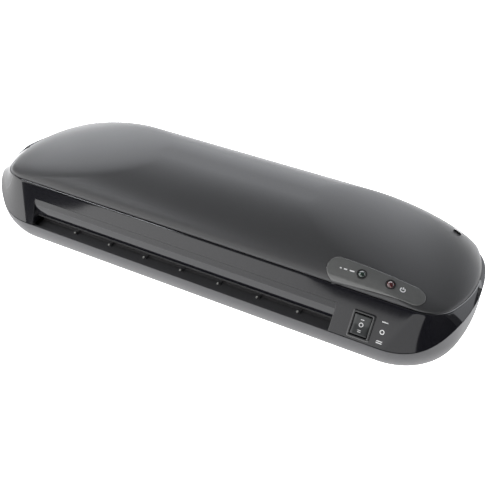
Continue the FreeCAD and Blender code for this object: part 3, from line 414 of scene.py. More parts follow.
def plastic(name, rgb, rough, grain, depth, spread=0.04, coat=0.0, coat_rough=0.05, specular=0.5):
    """Moulded plastic: slow noise varies roughness by the spread, fine noise varies tone and bumps it.

    The grain is the size of the fine noise and the depth is the height of its bumps, in metres.
    """
    slow_scale, contrast, bump_strength = 22.0, 0.12, 0.6
    mat, tree, shader, place = new_material(name, rgb)
    fill(shader, {"Specular IOR Level": specular, "Coat Weight": coat, "Coat Roughness": coat_rough})
    slow, fine, span, tone, bump = (tree.nodes.new("ShaderNode" + kind) for kind in (
        "TexNoise", "TexNoise", "MapRange", "Mix", "Bump"))
    fill(slow, {"Scale": slow_scale, "Detail": 3.0})
    fill(fine, {"Scale": 1.0 / grain, "Detail": 2.0})
    fill(span, {"To Min": max(rough - spread, 0.01), "To Max": rough + spread})
    tone.data_type = "RGBA"
    fill(tone, {"A": (*[c * (1 - contrast) for c in rgb], 1),
                "B": (*[min(c * (1 + contrast), 1) for c in rgb], 1)})
    fill(bump, {"Strength": bump_strength, "Distance": depth})
    for source, output, target, socket in (
            (place, "Object", slow, "Vector"), (place, "Object", fine, "Vector"),
            (slow, "Fac", span, "Value"), (span, "Result", shader, "Roughness"),
            (fine, "Fac", tone, "Factor"), (tone, "Result", shader, "Base Color"),
            (fine, "Fac", bump, "Height"), (bump, "Normal", shader, "Normal")):
        tree.links.new(source.outputs[output], target.inputs[socket])
    return mat


def metal(name, rgb, rough, stretch):
    """Drawn or brushed metal: noise drawn out along X varies roughness and bumps it."""
    mat = plastic(name, rgb, rough, grain=0.0006, depth=0.00001, spread=0.08)
    nodes, links = mat.node_tree.nodes, mat.node_tree.links
    fill(nodes["Principled BSDF"], {"Metallic": 1.0})
    place = next(n for n in nodes if n.type == "TEX_COORD")
    draw = nodes.new("ShaderNodeMapping")
    fill(draw, {"Scale": (1.0 / stretch, 1.0, 1.0)})
    links.new(place.outputs["Object"], draw.inputs["Vector"])
    for noise in [n for n in nodes if n.type == "TEX_NOISE"]:
        links.new(draw.outputs["Vector"], noise.inputs["Vector"])
    return mat


def lens(name, rgb):
    """Tinted clear lens of an unlit lamp."""
    mat = plastic(name, rgb, 0.08, grain=0.002, depth=0.00002, spread=0.03, coat=1.0, coat_rough=0.03)
    fill(mat.node_tree.nodes["Principled BSDF"], {"Subsurface Weight": 0.15})
    return mat


def finishes(f):
    """The named finishes of the visible pieces, made once: colour, roughness, grain and bump depth."""
    if "satin cover" not in bpy.data.materials:
        plastic("satin cover", f.cover, 0.38, 0.0007, 0.000006, spread=0.03, specular=0.34)
        plastic("piano black", f.bezel, 0.06, 0.012, 0.000004, spread=0.02, specular=0.56)
        plastic("charcoal base", f.base, 0.50, 0.0009, 0.00003, spread=0.05, specular=0.36)
        plastic("slot black", f.inside, 0.75, 0.002, 0.00002)
        plastic("tray grey", f.tray, 0.45, 0.0012, 0.00002)
        plastic("rocker grain", f.rocker, 0.42, 0.0005, 0.00005)
        plastic("switch frame", f.frame, 0.22, 0.001, 0.00001, coat=0.4)
        plastic("printed mark", f.mark, 0.55, 0.0008, 0.00001)
        plastic("window gloss", f.window, 0.12, 0.006, 0.000004, spread=0.03)
        # Painted highlight: the pale grey glint colour of the rib tips.
        plastic("pale tip", f.tip, 0.35, 0.0008, 0.00001)
        lens("green lens", f.green)
        lens("red lens", f.red)
    return bpy.data.materials


def finish_for(slot):
    """Finish of a CAD node by its slot in the record: its class picks the recipe and its colour the tone."""
    name = "inner " + slot["slot"].replace("_", " ")
    if name in bpy.data.materials:
        return bpy.data.materials[name]
    rgb = tuple(slot["base_color"][:3])
    if slot["class"] in ("brushed_steel", "aluminium", "brass", "chrome"):
        return metal(name, rgb, 0.32, stretch=12.0)
    if slot["class"] == "rubber":
        return plastic(name, rgb, 0.7, grain=0.0008, depth=0.00004)
    return plastic(name, rgb, 0.28 if slot["class"] == "gloss_plastic" else 0.55, grain=0.001, depth=0.00002)


# ---- enclosure

def bezel_end(s):
    """Station where the seam meets the crease plane and the bezel runs out."""
    way = np.linspace(2.0, 3.0, 2001)
    _, y = outline(s.half_length, -s.half_depth, s.half_depth, s.end_bow, s.corner, s.corner, way, 1)
    return float(way[np.argmax(seam_height(s, y) >= crease_height(s, y))])


def base_patches(s, c):
    """Wall of the base from the table edge up to the climbing seam, its rim, underside and openings.

    The wall draws in below the seam with the square of the depth under it, and its lowest edge is
    rounded.  Behind the bezel the rim runs in over the crease plane to the cover.  A station is a way
    round the outline, but along the straight back it is a distance from the middle.
    """
    low, top_back = s.foot_drop, crease_height(s, s.half_depth)
    plate, step, edge = 7.0 * MM, 30.0 * MM, 1.5 * MM
    openings = (c.exit_low, c.exit_high, c.cord_z - plate, c.cord_z + plate)
    exact = [(z - low) / (top_back - low) for z in openings]
    rise = np.unique(np.concatenate([np.linspace(0, 0.08, 9), np.linspace(0.1, 1, 28), exact]))[:, None]
    end, near_end = bezel_end(s), 0.004
    front_way = np.unique(np.concatenate([ways(30, 36, 44, 36, 1)[:-1], [end - near_end, end + near_end]]))
    front_way = front_way[front_way <= 4.0]
    corner_x, cord_x = -c.exit_left, c.cord_x + plate * np.array([1.0, 0.5, 0.0, -0.5, -1.0])
    back_right = np.concatenate([[corner_x, (corner_x + cord_x[0]) / 2], cord_x, [c.exit_right],
                                 step * np.arange(3, -1, -1)])
    back_left = np.append(step * np.arange(1, 5), corner_x)
    station = np.concatenate([front_way, back_right, back_left, front_way[:0:-1]])
    column = np.arange(len(station))
    straight = (column >= len(front_way)) & (column <= len(station) - len(front_way))
    side = np.where(column < len(front_way) + len(back_right), 1.0, -1.0)

    def way_on(*sizes):
        """Ways of the stations on an outline: behind, 5 less the share of the straight back."""
        *_, far_x = arcs(*sizes)
        return np.where(straight, 5 - station / far_x, station)

    def ring_at(inset_side, inset_front):
        """X and Y of the base's outline, drawn in at its ends and at its front and back."""
        size = s.corner - inset_front / 2
        sizes = (s.half_length - inset_side, -s.half_depth + inset_front, s.half_depth - inset_front,
                 s.end_bow, size, size)
        return outline(*sizes, way_on(*sizes), side)

    def drawn(height):
        """Share by which the wall is drawn in at a height: the square of its share below the seam."""
        return np.clip(1 - (height - low) / (s.seam_low - low), 0, 1) ** 2

    _, y = ring_at(0.0, 0.0)
    in_front = seam_height(s, y) < crease_height(s, y)
    top = np.where(in_front, seam_height(s, y) - s.seam_gap / 2, crease_height(s, y))
    z = low + (top - low) * rise
    x, y = ring_at(s.under_side * drawn(z) + rounded(z - low, edge),
                   s.under_front * drawn(z) + rounded(z - low, edge))
    wall = np.stack([x, y, z], -1)
    z_mid = (z[:-1] + z[1:]) / 2
    x_mid = (x + np.roll(x, -1, 1))[:-1] / 2
    in_exit = (x_mid > c.exit_left) & (x_mid < c.exit_right) & (z_mid > c.exit_low) & (z_mid < c.exit_high)
    in_cord = (np.abs(x_mid - c.cord_x) < plate) & (np.abs(z_mid - c.cord_z) < plate)
    keep = ~((in_exit | in_cord) & straight & np.roll(straight, -1))
    patches = [(wall, {"ring": True, "keep": keep})]

    rim, tuck = wall[-1], 2.1 * MM
    way = way_on(s.crease_half, s.crease_front, s.crease_back, s.crease_bow, s.crease_near, s.crease_far)
    inner = crease(s, way, side, 2 * MM) - np.array([0, 0, 0.2 * MM])
    x, y = outline(s.half_length - tuck, -s.half_depth + tuck, s.half_depth - tuck, s.end_bow,
                   s.corner - tuck, s.corner - tuck, station, side)
    hidden = np.stack([x, y, rim[:, 2] - 0.3 * MM], -1)
    share = even(9, 1, 1)
    shoulder = rim + (np.where(in_front[:, None], hidden, inner) - rim) * share
    shoulder[..., 2] -= 0.35 * MM * (1 - share[..., 0]) ** 6
    shoulder[0] = rim
    patches.append((shoulder, {"ring": True}))

    shrink = 1 - even(6, 1, 1)
    floor = wall[0] * np.concatenate([shrink, shrink, np.ones_like(shrink)], -1)
    patches.append((floor, {"ring": True, "flip": True}))

    turn = np.linspace(0, 2 * math.pi, 65)
    square = 1 / np.maximum(np.abs(np.cos(turn)), np.abs(np.sin(turn)))
    size = c.cord_hole + (plate * square - c.cord_hole) * even(6, 1)
    x, z = c.cord_x + size * np.cos(turn), c.cord_z + size * np.sin(turn)
    patches.append((np.stack([x, s.half_depth - s.under_front * drawn(z), z], -1), {}))
    return patches


def band_lean(s, start):
    """Depth and height that the front band covers, from a start height at its foot to the crease."""
    return (s.crease_front * math.cos(s.crease_tilt) + s.half_depth,
            s.crease_z - s.crease_front * math.sin(s.crease_tilt) - start)


def bezel_patches(s, c, k):
    """Front band, ruled from the widest line to the crease, with the recess of the entry cut into it.

    Over the entry the band bends down smoothly into the hood, a quadratic curve from the hood edge to
    the lip.  The left wall of the recess leans outwards, and the walls' front edges are rounded, less
    and less up to the hood edge.  The band's upper edge rolls in under the cover.
    """
    lean_y, lean_z = band_lean(s, s.seam_low)
    run = math.hypot(lean_y, lean_z)
    hood_share, roll_share, fade = (c.hood_y + s.half_depth) / lean_y, 0.962, 0.1
    frame_lap, soft, soft_deep = 0.9 * MM, 0.5 * MM, 0.6 * MM
    hole = [(k.switch_slope + d * (k.switch_high - frame_lap)) / run for d in (-1, 1)]
    t = np.unique(np.concatenate([np.linspace(0, 0.03, 5), np.linspace(0.05, roll_share, 26),
                                  [hood_share], hole]))[:, None]

    # Columns along the front: the entry, two in the open band, and the sides and thirds of the hole.
    left = c.left - c.flare * np.clip(t / hood_share, 0, 1)
    ease = soft * np.clip((hood_share - t) / fade, 0, 1)
    share = even(61)[None, :]
    entry = (left - ease) + (c.right + ease - left + ease) * share
    half_hole = k.switch_wide - frame_lap
    beside = np.append([107.5 * MM, 112.0 * MM], k.switch_x + half_hole * np.array([-1, -1 / 3, 1 / 3, 1]))
    x = np.concatenate([entry, beside + 0 * t], 1)
    blend = even(6)[None, 1:]
    turns = np.concatenate([np.linspace(1, 2, 41)[1:], np.linspace(2, bezel_end(s), 30)[1:]])
    first = len(turns) + blend.shape[1]
    last = first + share.shape[1] - 1
    hole_first = last + 3

    def line(place, *sizes):
        """A long edge of the band at every column, from the left end round the front to the right end."""
        *_, near_x, _ = arcs(*sizes)
        left_way, right_way = np.abs(x[:, :1]) / near_x, np.abs(x[:, -1:]) / near_x
        way = np.concatenate([turns[::-1] + 0 * t, (left_way + (1 - left_way) * blend)[:, ::-1],
                              np.abs(x) / near_x, right_way + (1 - right_way) * blend, turns + 0 * t], 1)
        ends = np.ones((len(t), first))
        return place(s, way, np.concatenate([-ends, np.sign(x), ends], 1))

    low = line(widest, s.half_length, -s.half_depth, s.half_depth, s.end_bow, s.corner, s.corner)
    low[..., 2] += s.seam_gap / 2 * np.clip((crease_height(s, low[..., 1]) - low[..., 2]) / (4 * MM), 0, 1)
    high = line(crease, s.crease_half, s.crease_front, s.crease_back, s.crease_bow, s.crease_near,
                s.crease_far)
    band = low + (high - low) * t[..., None]
    t_mid, column = (t[:-1] + t[1:]) / 2, np.arange(band.shape[1] - 1)[None, :]
    in_entry = (column >= first) & (column < last)
    in_hole = (column >= hole_first) & (column < hole_first + 3) & (t_mid > hole[0]) & (t_mid < hole[1])
    patches = [(band, {"keep": ~(in_entry & (t_mid < hood_share)) & ~in_hole})]

    # The rolled edge runs in along the crease plane under the cover, and the foot runs in as a thin lip.
    crest = high[-1]
    inward = crest * np.array([0.985, 0.955, 1.0])
    inward[:, 2] = crease_height(s, inward[:, 1])
    curve = bent(band[-1], crest, crest + (inward - crest) * 0.3, even(7, 1, 1))
    patches.append((np.concatenate([curve, inward[None]]), {}))

    foot = low[0]
    under = foot * np.array([0.988, 0.965, 1.0]) + np.array([0, 0, 0.25 * MM])
    patches.append((np.stack([under, foot]), {"keep": ~in_entry, "finish": 1}))

    edge, lip = np.array([c.hood_y, s.seam_low + lean_z * hood_share]), np.array([c.lip_y, c.lip_z])
    knee = edge - np.array([lean_y, lean_z]) / run * 5.2 * MM
    hood = bent(edge, knee, lip, even(19, 1))
    lip_curve = np.array([(0, 0), (-0.03, -0.12), (-0.03, -0.45), (0, -0.8), (0.15, -0.96), (0.5, -1)])
    rim = lip + lip_curve * c.lip_drop
    deep = lip + np.array([(3.0, 0.0), (9.0, 0.5)]) * MM - np.array([0, c.lip_drop])

    def across(profile, finish):
        """A profile of depths and heights carried from the leaning left wall to the right wall."""
        up = np.clip((profile[:, 1] - s.seam_low) / (edge[1] - s.seam_low), 0, 1)
        start = (c.left - c.flare * up)[:, None]
        wide = start + (c.right - start) * share
        grid = np.stack([wide, profile[:, :1] + 0 * wide, profile[:, 1:] + 0 * wide], -1)
        return grid[::-1], {"finish": finish}

    patches += [across(hood, 0), across(rim, 2), across(np.concatenate([rim[-1:], deep]), 1)]

    # The side walls reach behind the lip and down to the tray.
    behind = lip + np.array([(0.5, -0.8), (3.0, -1.8), (7.0, -2.8)]) * MM
    inner = np.concatenate([hood, behind, [(c.lip_y + 8 * MM, s.seam_low)]])
    up = (inner[:, 1] - s.seam_low) / lean_z
    outer_y = -s.half_depth + lean_y * up
    room = np.clip((hood_share - up) / fade, 0, 1)
    round_y = outer_y + np.minimum(soft_deep * room, inner[:, 0] - outer_y)
    bend, far = even(6, 1), even(6, 1)[1:]
    for x_wall, sign in ((c.left - c.flare * np.clip(up / hood_share, 0, 1), -1), (c.right + 0 * up, 1)):
        wall_x = np.concatenate([bent(x_wall + sign * soft * room, x_wall, x_wall, bend), x_wall + 0 * far])
        wall_y = np.concatenate([bent(outer_y, outer_y, round_y, bend),
                                 round_y + (inner[:, 0] - round_y) * far])
        patches.append((np.stack([wall_x, wall_y, inner[:, 1] + 0 * wall_x], -1), {"flip": sign < 0}))
    return patches


def cover_patches(s):
    """Domed cover, from a rolled edge at the crease to the flat of its ridge.

    Stations of height are quarter-wave spaced, so rings stay even over the crown.
    """
    way, side = loop(ways(60, 26, 34, 26, 60))
    share = np.sin(np.linspace(0.0, 1.0, 73) * math.pi / 2)[:, None]
    inset = 1.0 * MM * (1 - np.clip(share / 0.10, 0, 1)) ** 2
    body = dome(s, share, way, side, inset)
    edge = dome(s, share[:1], way, side, 2.2 * MM) - np.array([0, 0, 0.3 * MM])
    top = body[-1]
    shrink = 1 - np.linspace(0, 1, 8)[1:, None, None]
    centre = np.array([0, s.ridge_y, 0])
    flat = centre + (top - centre) * np.concatenate([shrink, shrink, np.ones_like(shrink)], -1)
    return [(np.concatenate([edge, body, flat]), {"ring": True})]


def on_band(s, x, slope):
    """Leaning frame on the front band: a point at a distance up the band from the seam."""
    start = s.seam_low + s.seam_gap / 2
    pitch = math.atan2(*band_lean(s, start)[::-1])
    spot = (x, -s.half_depth + slope * math.cos(pitch), start + slope * math.sin(pitch))
    return leaning(spot, pitch, 0.0)


def on_dome(s, at, a, b, lift):
    """Points over the cover, found in plan from a leaning frame and lifted off the dome."""
    plan = local(at, a, b, 0.0)
    lift = np.broadcast_to(lift, plan.shape[:-1])
    return np.stack([plan[..., 0], plan[..., 1], dome_height(s, plan[..., 0], plan[..., 1]) + lift], -1)


def rings(place, outlines, lifts):
    """Grid of closed outlines, each at its own lift; its columns go round and its rows go in."""
    a = np.stack([line[0] for line in outlines])
    b = np.stack([line[1] for line in outlines])
    return place(a, b, np.asarray(lifts)[:, None] + 0 * a)


def strokes(place, lines, width, lift, finish):
    """Printed strokes: each line of points becomes a ribbon with its sides brought down to the surface.

    The lines, their width and their lift are in millimetres.
    """
    patches, width, lift = [], width * MM, lift * MM
    for line in lines:
        line = line * MM
        along = np.gradient(line, axis=0)
        along /= np.linalg.norm(along, axis=1, keepdims=True)
        side = np.stack([-along[:, 1], along[:, 0]], -1) * width / 2
        a = np.stack([line[:, 0] + k * side[:, 0] for k in (-1, -1, 1, 1)])
        b = np.stack([line[:, 1] + k * side[:, 1] for k in (-1, -1, 1, 1)])
        heights = np.array([0.0, lift, lift, 0.0])[:, None] + 0 * a
        patches.append((place(a, b, heights), {"finish": finish}))
    return patches


def bar(a, b, half):
    """Straight stroke of a half length along the local X, round a middle."""
    return np.stack([a + np.linspace(-half, half, 8), b + np.zeros(8)], -1)


def ring(a, b, size, start=0.0, sweep=2 * math.pi):
    """Round stroke of a radius, from a start over a sweep of angle."""
    turn = start + np.linspace(0, sweep, 33)
    return np.stack([a + size * np.cos(turn), b + size * np.sin(turn)], -1)


def window_frame(k):
    """Leaning frame of the lamp window."""
    return leaning((k.window_x, k.window_y, k.window_z), k.window_lean, k.window_roll)


def window_patches(s, k):
    """Stadium window that follows the dome, with a rounded edge inside a thin dark groove.

    Its rings run in from the edge to a closed spine.  Its marks are three dashes and a power ring.
    """
    at = window_frame(k)
    place = partial(on_dome, s, at)
    groove = [pill(k.window_half + d, k.window_size + d) for d in np.array([0.45, 0.4, -0.1]) * MM]
    patches = [(rings(place, groove, [-0.3 * MM, 0.03 * MM, 0.03 * MM]), {"ring": True, "finish": 1})]
    inset = np.array([0.0, 0.0, 0.06, 0.2, 0.4, 1.2, 2.2, 3.4, 4.6, 5.8, 6.6, 6.95]) * MM
    lifts = np.array([-0.3, 0.06, 0.18, 0.26] + [0.28] * 9) * MM
    thin = 1e-5
    body = [pill(k.window_half - d, k.window_size - d) for d in inset]
    spine = pill(k.window_half - k.window_size + thin, thin)
    patches.append((rings(place, body + [spine], lifts), {"ring": True}))
    power_x = 17.6
    marks = [bar(-16.0, 0, 1.6), bar(-20.4, 0, 1.1), bar(-23.6, 0, 0.6),
             ring(power_x, 0, 1.5, math.radians(120), math.radians(300)),
             np.stack([power_x + np.zeros(8), np.linspace(0.2, 2.1, 8)], -1)]
    return patches + strokes(place, marks, 0.7, 0.32, 2)


def ball_patches(at, x, size, low):
    """Round lamp, a half ball on a low level, standing through the window in a dark collar."""
    turn = np.linspace(0, 2 * math.pi, 49)[:-1]
    rise = np.linspace(0, math.pi / 2, 13)[:-1, None]
    a = x + size * np.cos(rise) * np.cos(turn)
    b = size * np.cos(rise) * np.sin(turn)
    ball = local(at, a, b, low + size * np.sin(rise))
    tip = local(at, x + 0 * turn, 0.0, low + size)
    profile = np.array([(1.24, -1.0), (1.24, 0.30), (1.20, 0.42), (1.08, 0.46), (0.98, 0.40), (0.97, -1.0)])
    wide = profile[:, :1] * size
    collar = local(at, x + wide * np.cos(turn), wide * np.sin(turn), profile[:, 1:] * MM)
    return [(np.concatenate([ball, tip[None]]), {"ring": True}), (collar, {"ring": True, "finish": 1})]


def switch_patches(s, k):
    """Frame of the switch: a rounded flange on the band around a well with a closed floor.

    Each step is an inset, a height and a corner radius in millimetres.
    """
    at = on_band(s, k.switch_x, k.switch_slope)
    inner_x, inner_y = k.rocker_wide + 0.3 * MM, k.rocker_high + k.swing_room
    well, thin = -4.2 * MM, 1e-5
    outside = [(0.0, -0.3, 1.2), (0.0, 0.75, 1.2), (0.08, 1.0, 1.2), (0.3, 1.22, 1.2), (0.6, 1.3, 1.1)]
    inside = [(-0.55, 1.3), (-0.25, 1.22), (-0.05, 1.0), (0.0, 0.75)]
    lines = [round_box(k.switch_wide - d * MM, k.switch_high - d * MM, r * MM) for d, _, r in outside]
    lines += [round_box(inner_x - d * MM, inner_y - d * MM, 0.6 * MM) for d, _ in inside]
    lines += [round_box(inner_x, inner_y, 0.6 * MM), round_box(thin, thin, thin / 2)]
    heights = [h * MM for h in (*[h for _, h, _ in outside], *[h for _, h in inside])] + [well, well]
    return [(rings(partial(local, at), lines, heights), {"ring": True})]


def rocker_patches(s, k):
    """Rocker: its two faces rise from the middle to the ends; three marks are printed on it.

    Its face stands 1 mm times sqrt((b / h)^2 + 0.01) higher at a distance b from the middle of half
    height h, a soft V.  Its foot is level.
    """
    at = on_band(s, k.switch_x, k.switch_slope)
    wide, high, edge = k.rocker_wide, k.rocker_high, 0.35 * MM

    def place(a, b, lift):
        return local(at, a, b, lift + 0.9 * MM + 1.0 * MM * np.sqrt((b / high) ** 2 + 0.01))

    a, b = np.meshgrid(np.linspace(-wide, wide, 13), np.linspace(-high, high, 33))
    near = np.minimum(wide - np.abs(a), high - np.abs(b))
    line_a, line_b = edge_loop(np.stack([a, b], -1)).T
    foot = local(at, line_a, line_b, -k.rocker_deep)
    centre = local(at, 0 * line_a, 0 * line_b, -k.rocker_deep)
    patches = [(place(a, b, -rounded(near, edge)), {}),
               (np.stack([foot, place(line_a, line_b, -edge)]), {"ring": True}),
               (np.stack([centre, foot]), {"ring": True})]
    marks = [bar(0, 3.6, 1.1), ring(0, 0.3, 1.25), bar(0, -3.3, 1.1), bar(0, -4.3, 1.1)]
    return patches + strokes(place, marks, 0.38, 0.05, 1)


def label_patches(s, k):
    """Plain marks beside the switch, one for each of its three positions."""
    at = on_band(s, k.switch_x + 13.7 * MM, k.switch_slope)
    marks = [bar(0, 6.6, 1.9), ring(0, 0.2, 1.25), bar(0, -5.8, 1.9), bar(0, -7.0, 1.9)]
    return strokes(partial(local, at), marks, 0.6, 0.05, 0)


def release_patches(k):
    """Thumb slide of the release: a low cap with a rounded edge on the back of the dome.

    Its ribs are a cosine of X that fades out over the edge, and its sides go down into the dome.
    """
    at = leaning((k.release_x, k.release_y, k.release_z), k.release_lean, k.release_roll)
    left, right, front, back = np.array([1.5, 7.5, -1.6, 4.2]) * MM
    height, edge, pitch, rib_high, skirt = np.array([1.25, 0.6, 1.5, 0.22, 3.0]) * MM
    x, y = np.meshgrid(np.linspace(left, right, 46), np.linspace(front, back, 12))
    near = np.minimum(np.minimum(x - left, right - x), np.minimum(y - front, back - y))
    rib = rib_high * np.cos(x / pitch * 2 * math.pi) * np.clip(near / edge, 0, 1)
    top = local(at, x, y, height + rib - rounded(near, edge))
    side = edge_loop(top)
    down = side - np.array([0, 0, skirt])
    return [(top, {}), (np.stack([down, side]), {"ring": True}),
            (np.stack([0 * down + down.mean(0), down]), {"ring": True})]


def glint_tip_patches():
    """Pale tips of the guide ribs just inside the entry, a painted highlight for glints of light: seven
    small domes on one pitch.
    """
    turn = np.linspace(0, 2 * math.pi, 17)[:-1]
    profile = np.array([(1.0, -0.5), (1.0, 0.0), (0.8, 0.35), (0.45, 0.55), (0.0, 0.6)]) * MM
    wide, high = profile[:, :1], profile[:, 1:]
    dot = np.stack([0.6 * wide * np.cos(turn), 0.9 * wide * np.sin(turn), high + 0 * turn], -1)
    middle, pitch = np.array([-10.4, -55.0, 18.9]) * MM, np.array([29.7, 0, 0]) * MM
    return [(middle + pitch * place + dot, {"ring": True}) for place in range(-3, 4)]


class LaminatorPiece:
    """What the operators share: each shows in the panel and can be undone."""
    bl_options = {"REGISTER", "UNDO"}


class LAMINATOR_OT_base(LaminatorPiece, bpy.types.Operator):
    """Build the charcoal base with its climbing rim and rear openings"""
    bl_idname = "laminator.base"
    bl_label = "Base"

    def execute(self, context):
        scene = context.scene
        mats = finishes(scene.laminator_finish)
        patches = base_patches(scene.laminator_shell, scene.laminator_slots)
        obj = make("base_shell", patches, [mats["charcoal base"]])
        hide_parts("base_housing")
        return {"FINISHED"}


class LAMINATOR_OT_bezel(LaminatorPiece, bpy.types.Operator):
    """Build the glossy front band with the recessed entry"""
    bl_idname = "laminator.bezel"
    bl_label = "Front band"

    def execute(self, context):
        scene = context.scene
        mats = finishes(scene.laminator_finish)
        patches = bezel_patches(scene.laminator_shell, scene.laminator_slots, scene.laminator_controls)
        obj = make("front_band", patches, [mats["piano black"], mats["slot black"], mats["tray grey"]])
        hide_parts("front_bezel")
        return {"FINISHED"}


class LAMINATOR_OT_cover(LaminatorPiece, bpy.types.Operator):
    """Build the satin domed cover"""
    bl_idname = "laminator.cover"
    bl_label = "Cover"

    def execute(self, context):
        mats = finishes(context.scene.laminator_finish)
        obj = make("cover_shell", cover_patches(context.scene.laminator_shell), [mats["satin cover"]])
        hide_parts("top_cover")
        return {"FINISHED"}


class LAMINATOR_OT_window(LaminatorPiece, bpy.types.Operator):
    """Build the lamp window with its plain marks, and the two unlit lamps"""
    bl_idname = "laminator.window"
    bl_label = "Lamp window"

    def execute(self, context):
        shell, controls = context.scene.laminator_shell, context.scene.laminator_controls
        mats = finishes(context.scene.laminator_finish)
        obj = make("lamp_window", window_patches(shell, controls),
                   [mats["window gloss"], mats["slot black"], mats["printed mark"]])
        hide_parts("indicator_window")
        at, sunk = window_frame(controls), -1.2 * MM
        at = on_dome(shell, at, np.zeros(1), np.zeros(1), 0.0)[0], at[1]
        for name, x, tint, node in (("ready_lens", controls.lamp_green, "green lens", "green_lamp"),
                                    ("power_lens", controls.lamp_red, "red lens", "red_lamp")):
            lamp = make(name, ball_patches(at, x - controls.window_x, controls.lamp_size, sunk),
                        [mats[tint], mats["slot black"]])
            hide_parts(node)
        return {"FINISHED"}


class LAMINATOR_OT_switch(LaminatorPiece, bpy.types.Operator):
    """Build the switch frame, its rocker and the plain marks beside it"""
    bl_idname = "laminator.switch"
    bl_label = "Switch"

    def execute(self, context):
        shell, controls = context.scene.laminator_shell, context.scene.laminator_controls
        mats = finishes(context.scene.laminator_finish)
        frame_obj = make("switch_frame", switch_patches(shell, controls), [mats["switch frame"]])
        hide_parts("switch_body")
        rocker = make("switch_rocker_cap", rocker_patches(shell, controls),
                      [mats["rocker grain"], mats["printed mark"]], "switch_rocker")
        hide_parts("switch_rocker")
        marks = make("switch_marks", label_patches(shell, controls), [mats["printed mark"]])
        return {"FINISHED"}


class LAMINATOR_OT_small(LaminatorPiece, bpy.types.Operator):
    """Build the release slide and the painted glints on the rib tips inside the entry"""
    bl_idname = "laminator.small"
    bl_label = "Small pieces"

    def execute(self, context):
        mats = finishes(context.scene.laminator_finish)
        knob = make("release_cap", release_patches(context.scene.laminator_controls),
                    [mats["switch frame"]], "release_slider")
        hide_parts("release_knob")
        # The rib tips carry a painted highlight: their pale grey stands in for glints of light.
        tips = make("rib_tips", glint_tip_patches(), [mats["pale tip"]])
        return {"FINISHED"}


class LAMINATOR_OT_inner(LaminatorPiece, bpy.types.Operator):
    """Give every CAD piece that stays in view its finish"""
    bl_idname = "laminator.inner"
    bl_label = "Inner finishes"

    def execute(self, context):
        record = frame["record"]
        slots = {m["slot"]: m for m in record["materials"]}
        for part in record["subparts"]:
            obj = frame["nodes"][part["node"]]
            finish = finish_for(slots[part["material_slot"]])
            if not obj.material_slots:
                obj.data.materials.append(None)
            for slot in obj.material_slots:
                slot.material = finish
        return {"FINISHED"}


def card_light(name, glow):
    """Even glow of a studio card that fades slowly to the right, along X."""
    mat, tree, shader, place = new_material(name, (0.02, 0.02, 0.02))
    split, fade = (tree.nodes.new("ShaderNode" + kind) for kind in ("SeparateXYZ", "MapRange"))
    fill(fade, {"From Min": -1.2, "From Max": 0.2, "To Min": glow, "To Max": glow * 0.45})
    fill(shader, {"Emission Color": (1, 1, 1, 1)})
    tree.links.new(place.outputs["Object"], split.inputs["Vector"])
    tree.links.new(split.outputs["X"], fade.inputs["Value"])
    tree.links.new(fade.outputs["Result"], shader.inputs["Emission Strength"])
    return mat


def studio_sheet(name, corners, paint):
    """Flat sheet of the studio between its corners."""
    mesh = bpy.data.meshes.new(name)
    mesh.from_pydata(corners, [], [tuple(range(len(corners)))])
    mesh.materials.append(paint)
    obj = bpy.data.objects.new(name, mesh)
    bpy.context.collection.objects.link(obj)
    return obj


def aimed(name, data, spot, way):
    """Object of a light or a camera at a spot, looking along a way."""
    obj = bpy.data.objects.new(name, data)
    obj.location = spot
    obj.rotation_euler = way.to_track_quat("-Z", "Y").to_euler()
    bpy.context.collection.objects.link(obj)
    return obj


def upright(depth, *corners):
    """Corners of a card that stands across the front, from their X and height."""
    return [(x, depth, z) for x, z in corners]


# Cards round the object: glow, and corners in metres.  Their slanted edges shape the highlights.
CARDS = {
    "front_card": (2.8, upright(-1.2, (-1.08, 0.0), (1.0, 0.0), (0.9, 0.5), (0.62, 0.88), (0.2, 0.93),
                                (-0.03, 0.945), (-0.21, 0.948), (-0.28, 0.97), (-0.36, 1.25), (-0.98, 1.25),
                                (-0.98, 0.975), (-1.0, 0.945), (-1.04, 0.925), (-1.08, 0.915))),
    "corner_card": (2.8, upright(-1.2, (-1.26, 0.0), (-1.12, 0.0), (-1.12, 0.80), (-1.26, 0.96))),
    "left_card": (3.0, [(-1.26, -1.2, 0.0), (-1.26, -1.2, 1.3), (-1.9, 0.3, 1.3), (-1.9, 0.3, 0.0)]),
    "front_flag": (0.0, upright(-1.26, (-1.6, 0.0), (1.25, 0.0), (1.25, 1.9), (-1.6, 1.9))),
    "right_flag": (0.0, [(1.25, -1.26, 0.0), (1.6, -0.25, 0.0), (1.6, -0.25, 1.4), (1.25, -1.26, 1.4)]),
}

# Soft boxes: place, aim, width and height in metres, and power in watts.
LIGHTS = {
    "back_box": ((-0.9, 2.1, 1.25), (0.0, 0.0, 0.0), 3.4, 2.1, 72.0),
    "right_box": ((1.5, 1.0, 0.45), (0.15, 0.0, 0.03), 2.2, 0.9, 9.0),
    "crease_strip": ((-0.9, -0.42, 1.3), (-0.1, -0.04, 0.04), 0.9, 0.08, 5.5),
}


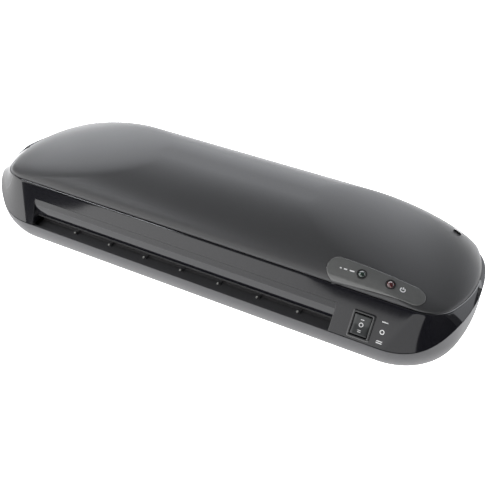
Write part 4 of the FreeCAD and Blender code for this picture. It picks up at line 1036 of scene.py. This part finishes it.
class LAMINATOR_OT_stage(LaminatorPiece, bpy.types.Operator):
    """Set up the pale floor, the soft studio lights and the camera"""
    bl_idname = "laminator.stage"
    bl_label = "Studio"

    def execute(self, context):
        scene = context.scene
        scene.view_settings.view_transform = "Standard"
        paint = plastic("studio floor paint", scene.laminator_finish.floor, 0.9, grain=0.05,
                        depth=0.00001, specular=0.1)
        fill(paint.node_tree.nodes["Principled BSDF"],
             {"Emission Color": (1, 1, 1, 1), "Emission Strength": 1.8})
        wide, low = 6.0, -0.2 * MM
        studio_sheet("studio_floor", [(-wide, -wide, low), (wide, -wide, low), (wide, wide, low),
                                      (-wide, wide, low)], paint)
        for name, (glow, corners) in CARDS.items():
            studio_sheet(name, corners, card_light(name + " glow", glow)).visible_camera = False
        scene.world = bpy.data.worlds.new("studio")
        scene.world.use_nodes = True
        fill(scene.world.node_tree.nodes["Background"], {"Color": (0.75, 0.76, 0.78, 1), "Strength": 0.3})
        for name, (spot, aim, wide, tall, power) in LIGHTS.items():
            light = bpy.data.lights.new(name, "AREA")
            light.shape = "RECTANGLE"
            light.size, light.size_y = wide, tall
            light.energy = power
            light.color = (0.94, 0.96, 1.0)
            aimed(name, light, spot, Vector(aim) - Vector(spot))
        turn, rise, away = math.radians(26.44), math.radians(41.81), 0.5854
        to_right, to_up, table = 0.01071, 0.00084, Vector((0, 0, 0.002))
        right = Vector((math.cos(turn), math.sin(turn), 0))
        back = Vector((math.sin(turn) * math.cos(rise), -math.cos(turn) * math.cos(rise), math.sin(rise)))
        camera = bpy.data.cameras.new("studio_camera")
        camera.lens = 57.2
        camera.sensor_width = 36.0
        camera.clip_start, camera.clip_end = 0.01, 20.0
        spot = right * to_right + back.cross(right) * to_up + table + back * away
        scene.camera = aimed("studio_camera", camera, spot, -back)
        return {"FINISHED"}


class LAMINATOR_PT_panel(bpy.types.Panel):
    """Pieces of the laminator"""
    bl_label = "Pouch Laminator"
    bl_idname = "LAMINATOR_PT_panel"
    bl_space_type = "VIEW_3D"
    bl_region_type = "UI"
    bl_category = "Laminator"

    def draw(self, context):
        for operator in PIECES:
            self.layout.operator(operator.bl_idname)


GROUPS = {"laminator_shell": LaminatorShell, "laminator_slots": LaminatorSlots,
          "laminator_controls": LaminatorControls, "laminator_finish": LaminatorFinish}
PIECES = (LAMINATOR_OT_inner, LAMINATOR_OT_base, LAMINATOR_OT_bezel, LAMINATOR_OT_cover, LAMINATOR_OT_window,
          LAMINATOR_OT_switch, LAMINATOR_OT_small, LAMINATOR_OT_stage)


def register():
    """Register the classes and hang the property groups on the scene."""
    for cls in (*GROUPS.values(), *PIECES, LAMINATOR_PT_panel):
        bpy.utils.register_class(cls)
    for name, cls in GROUPS.items():
        setattr(bpy.types.Scene, name, bpy.props.PointerProperty(type=cls))


def unregister():
    """Take the property groups off the scene and unregister the classes."""
    for name in GROUPS:
        delattr(bpy.types.Scene, name)
    for cls in (LAMINATOR_PT_panel, *reversed(PIECES), *reversed(GROUPS.values())):
        bpy.utils.unregister_class(cls)


def main():
    """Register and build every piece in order."""
    register()
    for operator in PIECES:
        group, name = operator.bl_idname.split(".")
        getattr(getattr(bpy.ops, group), name)()


if __name__ == "__main__":
    main()
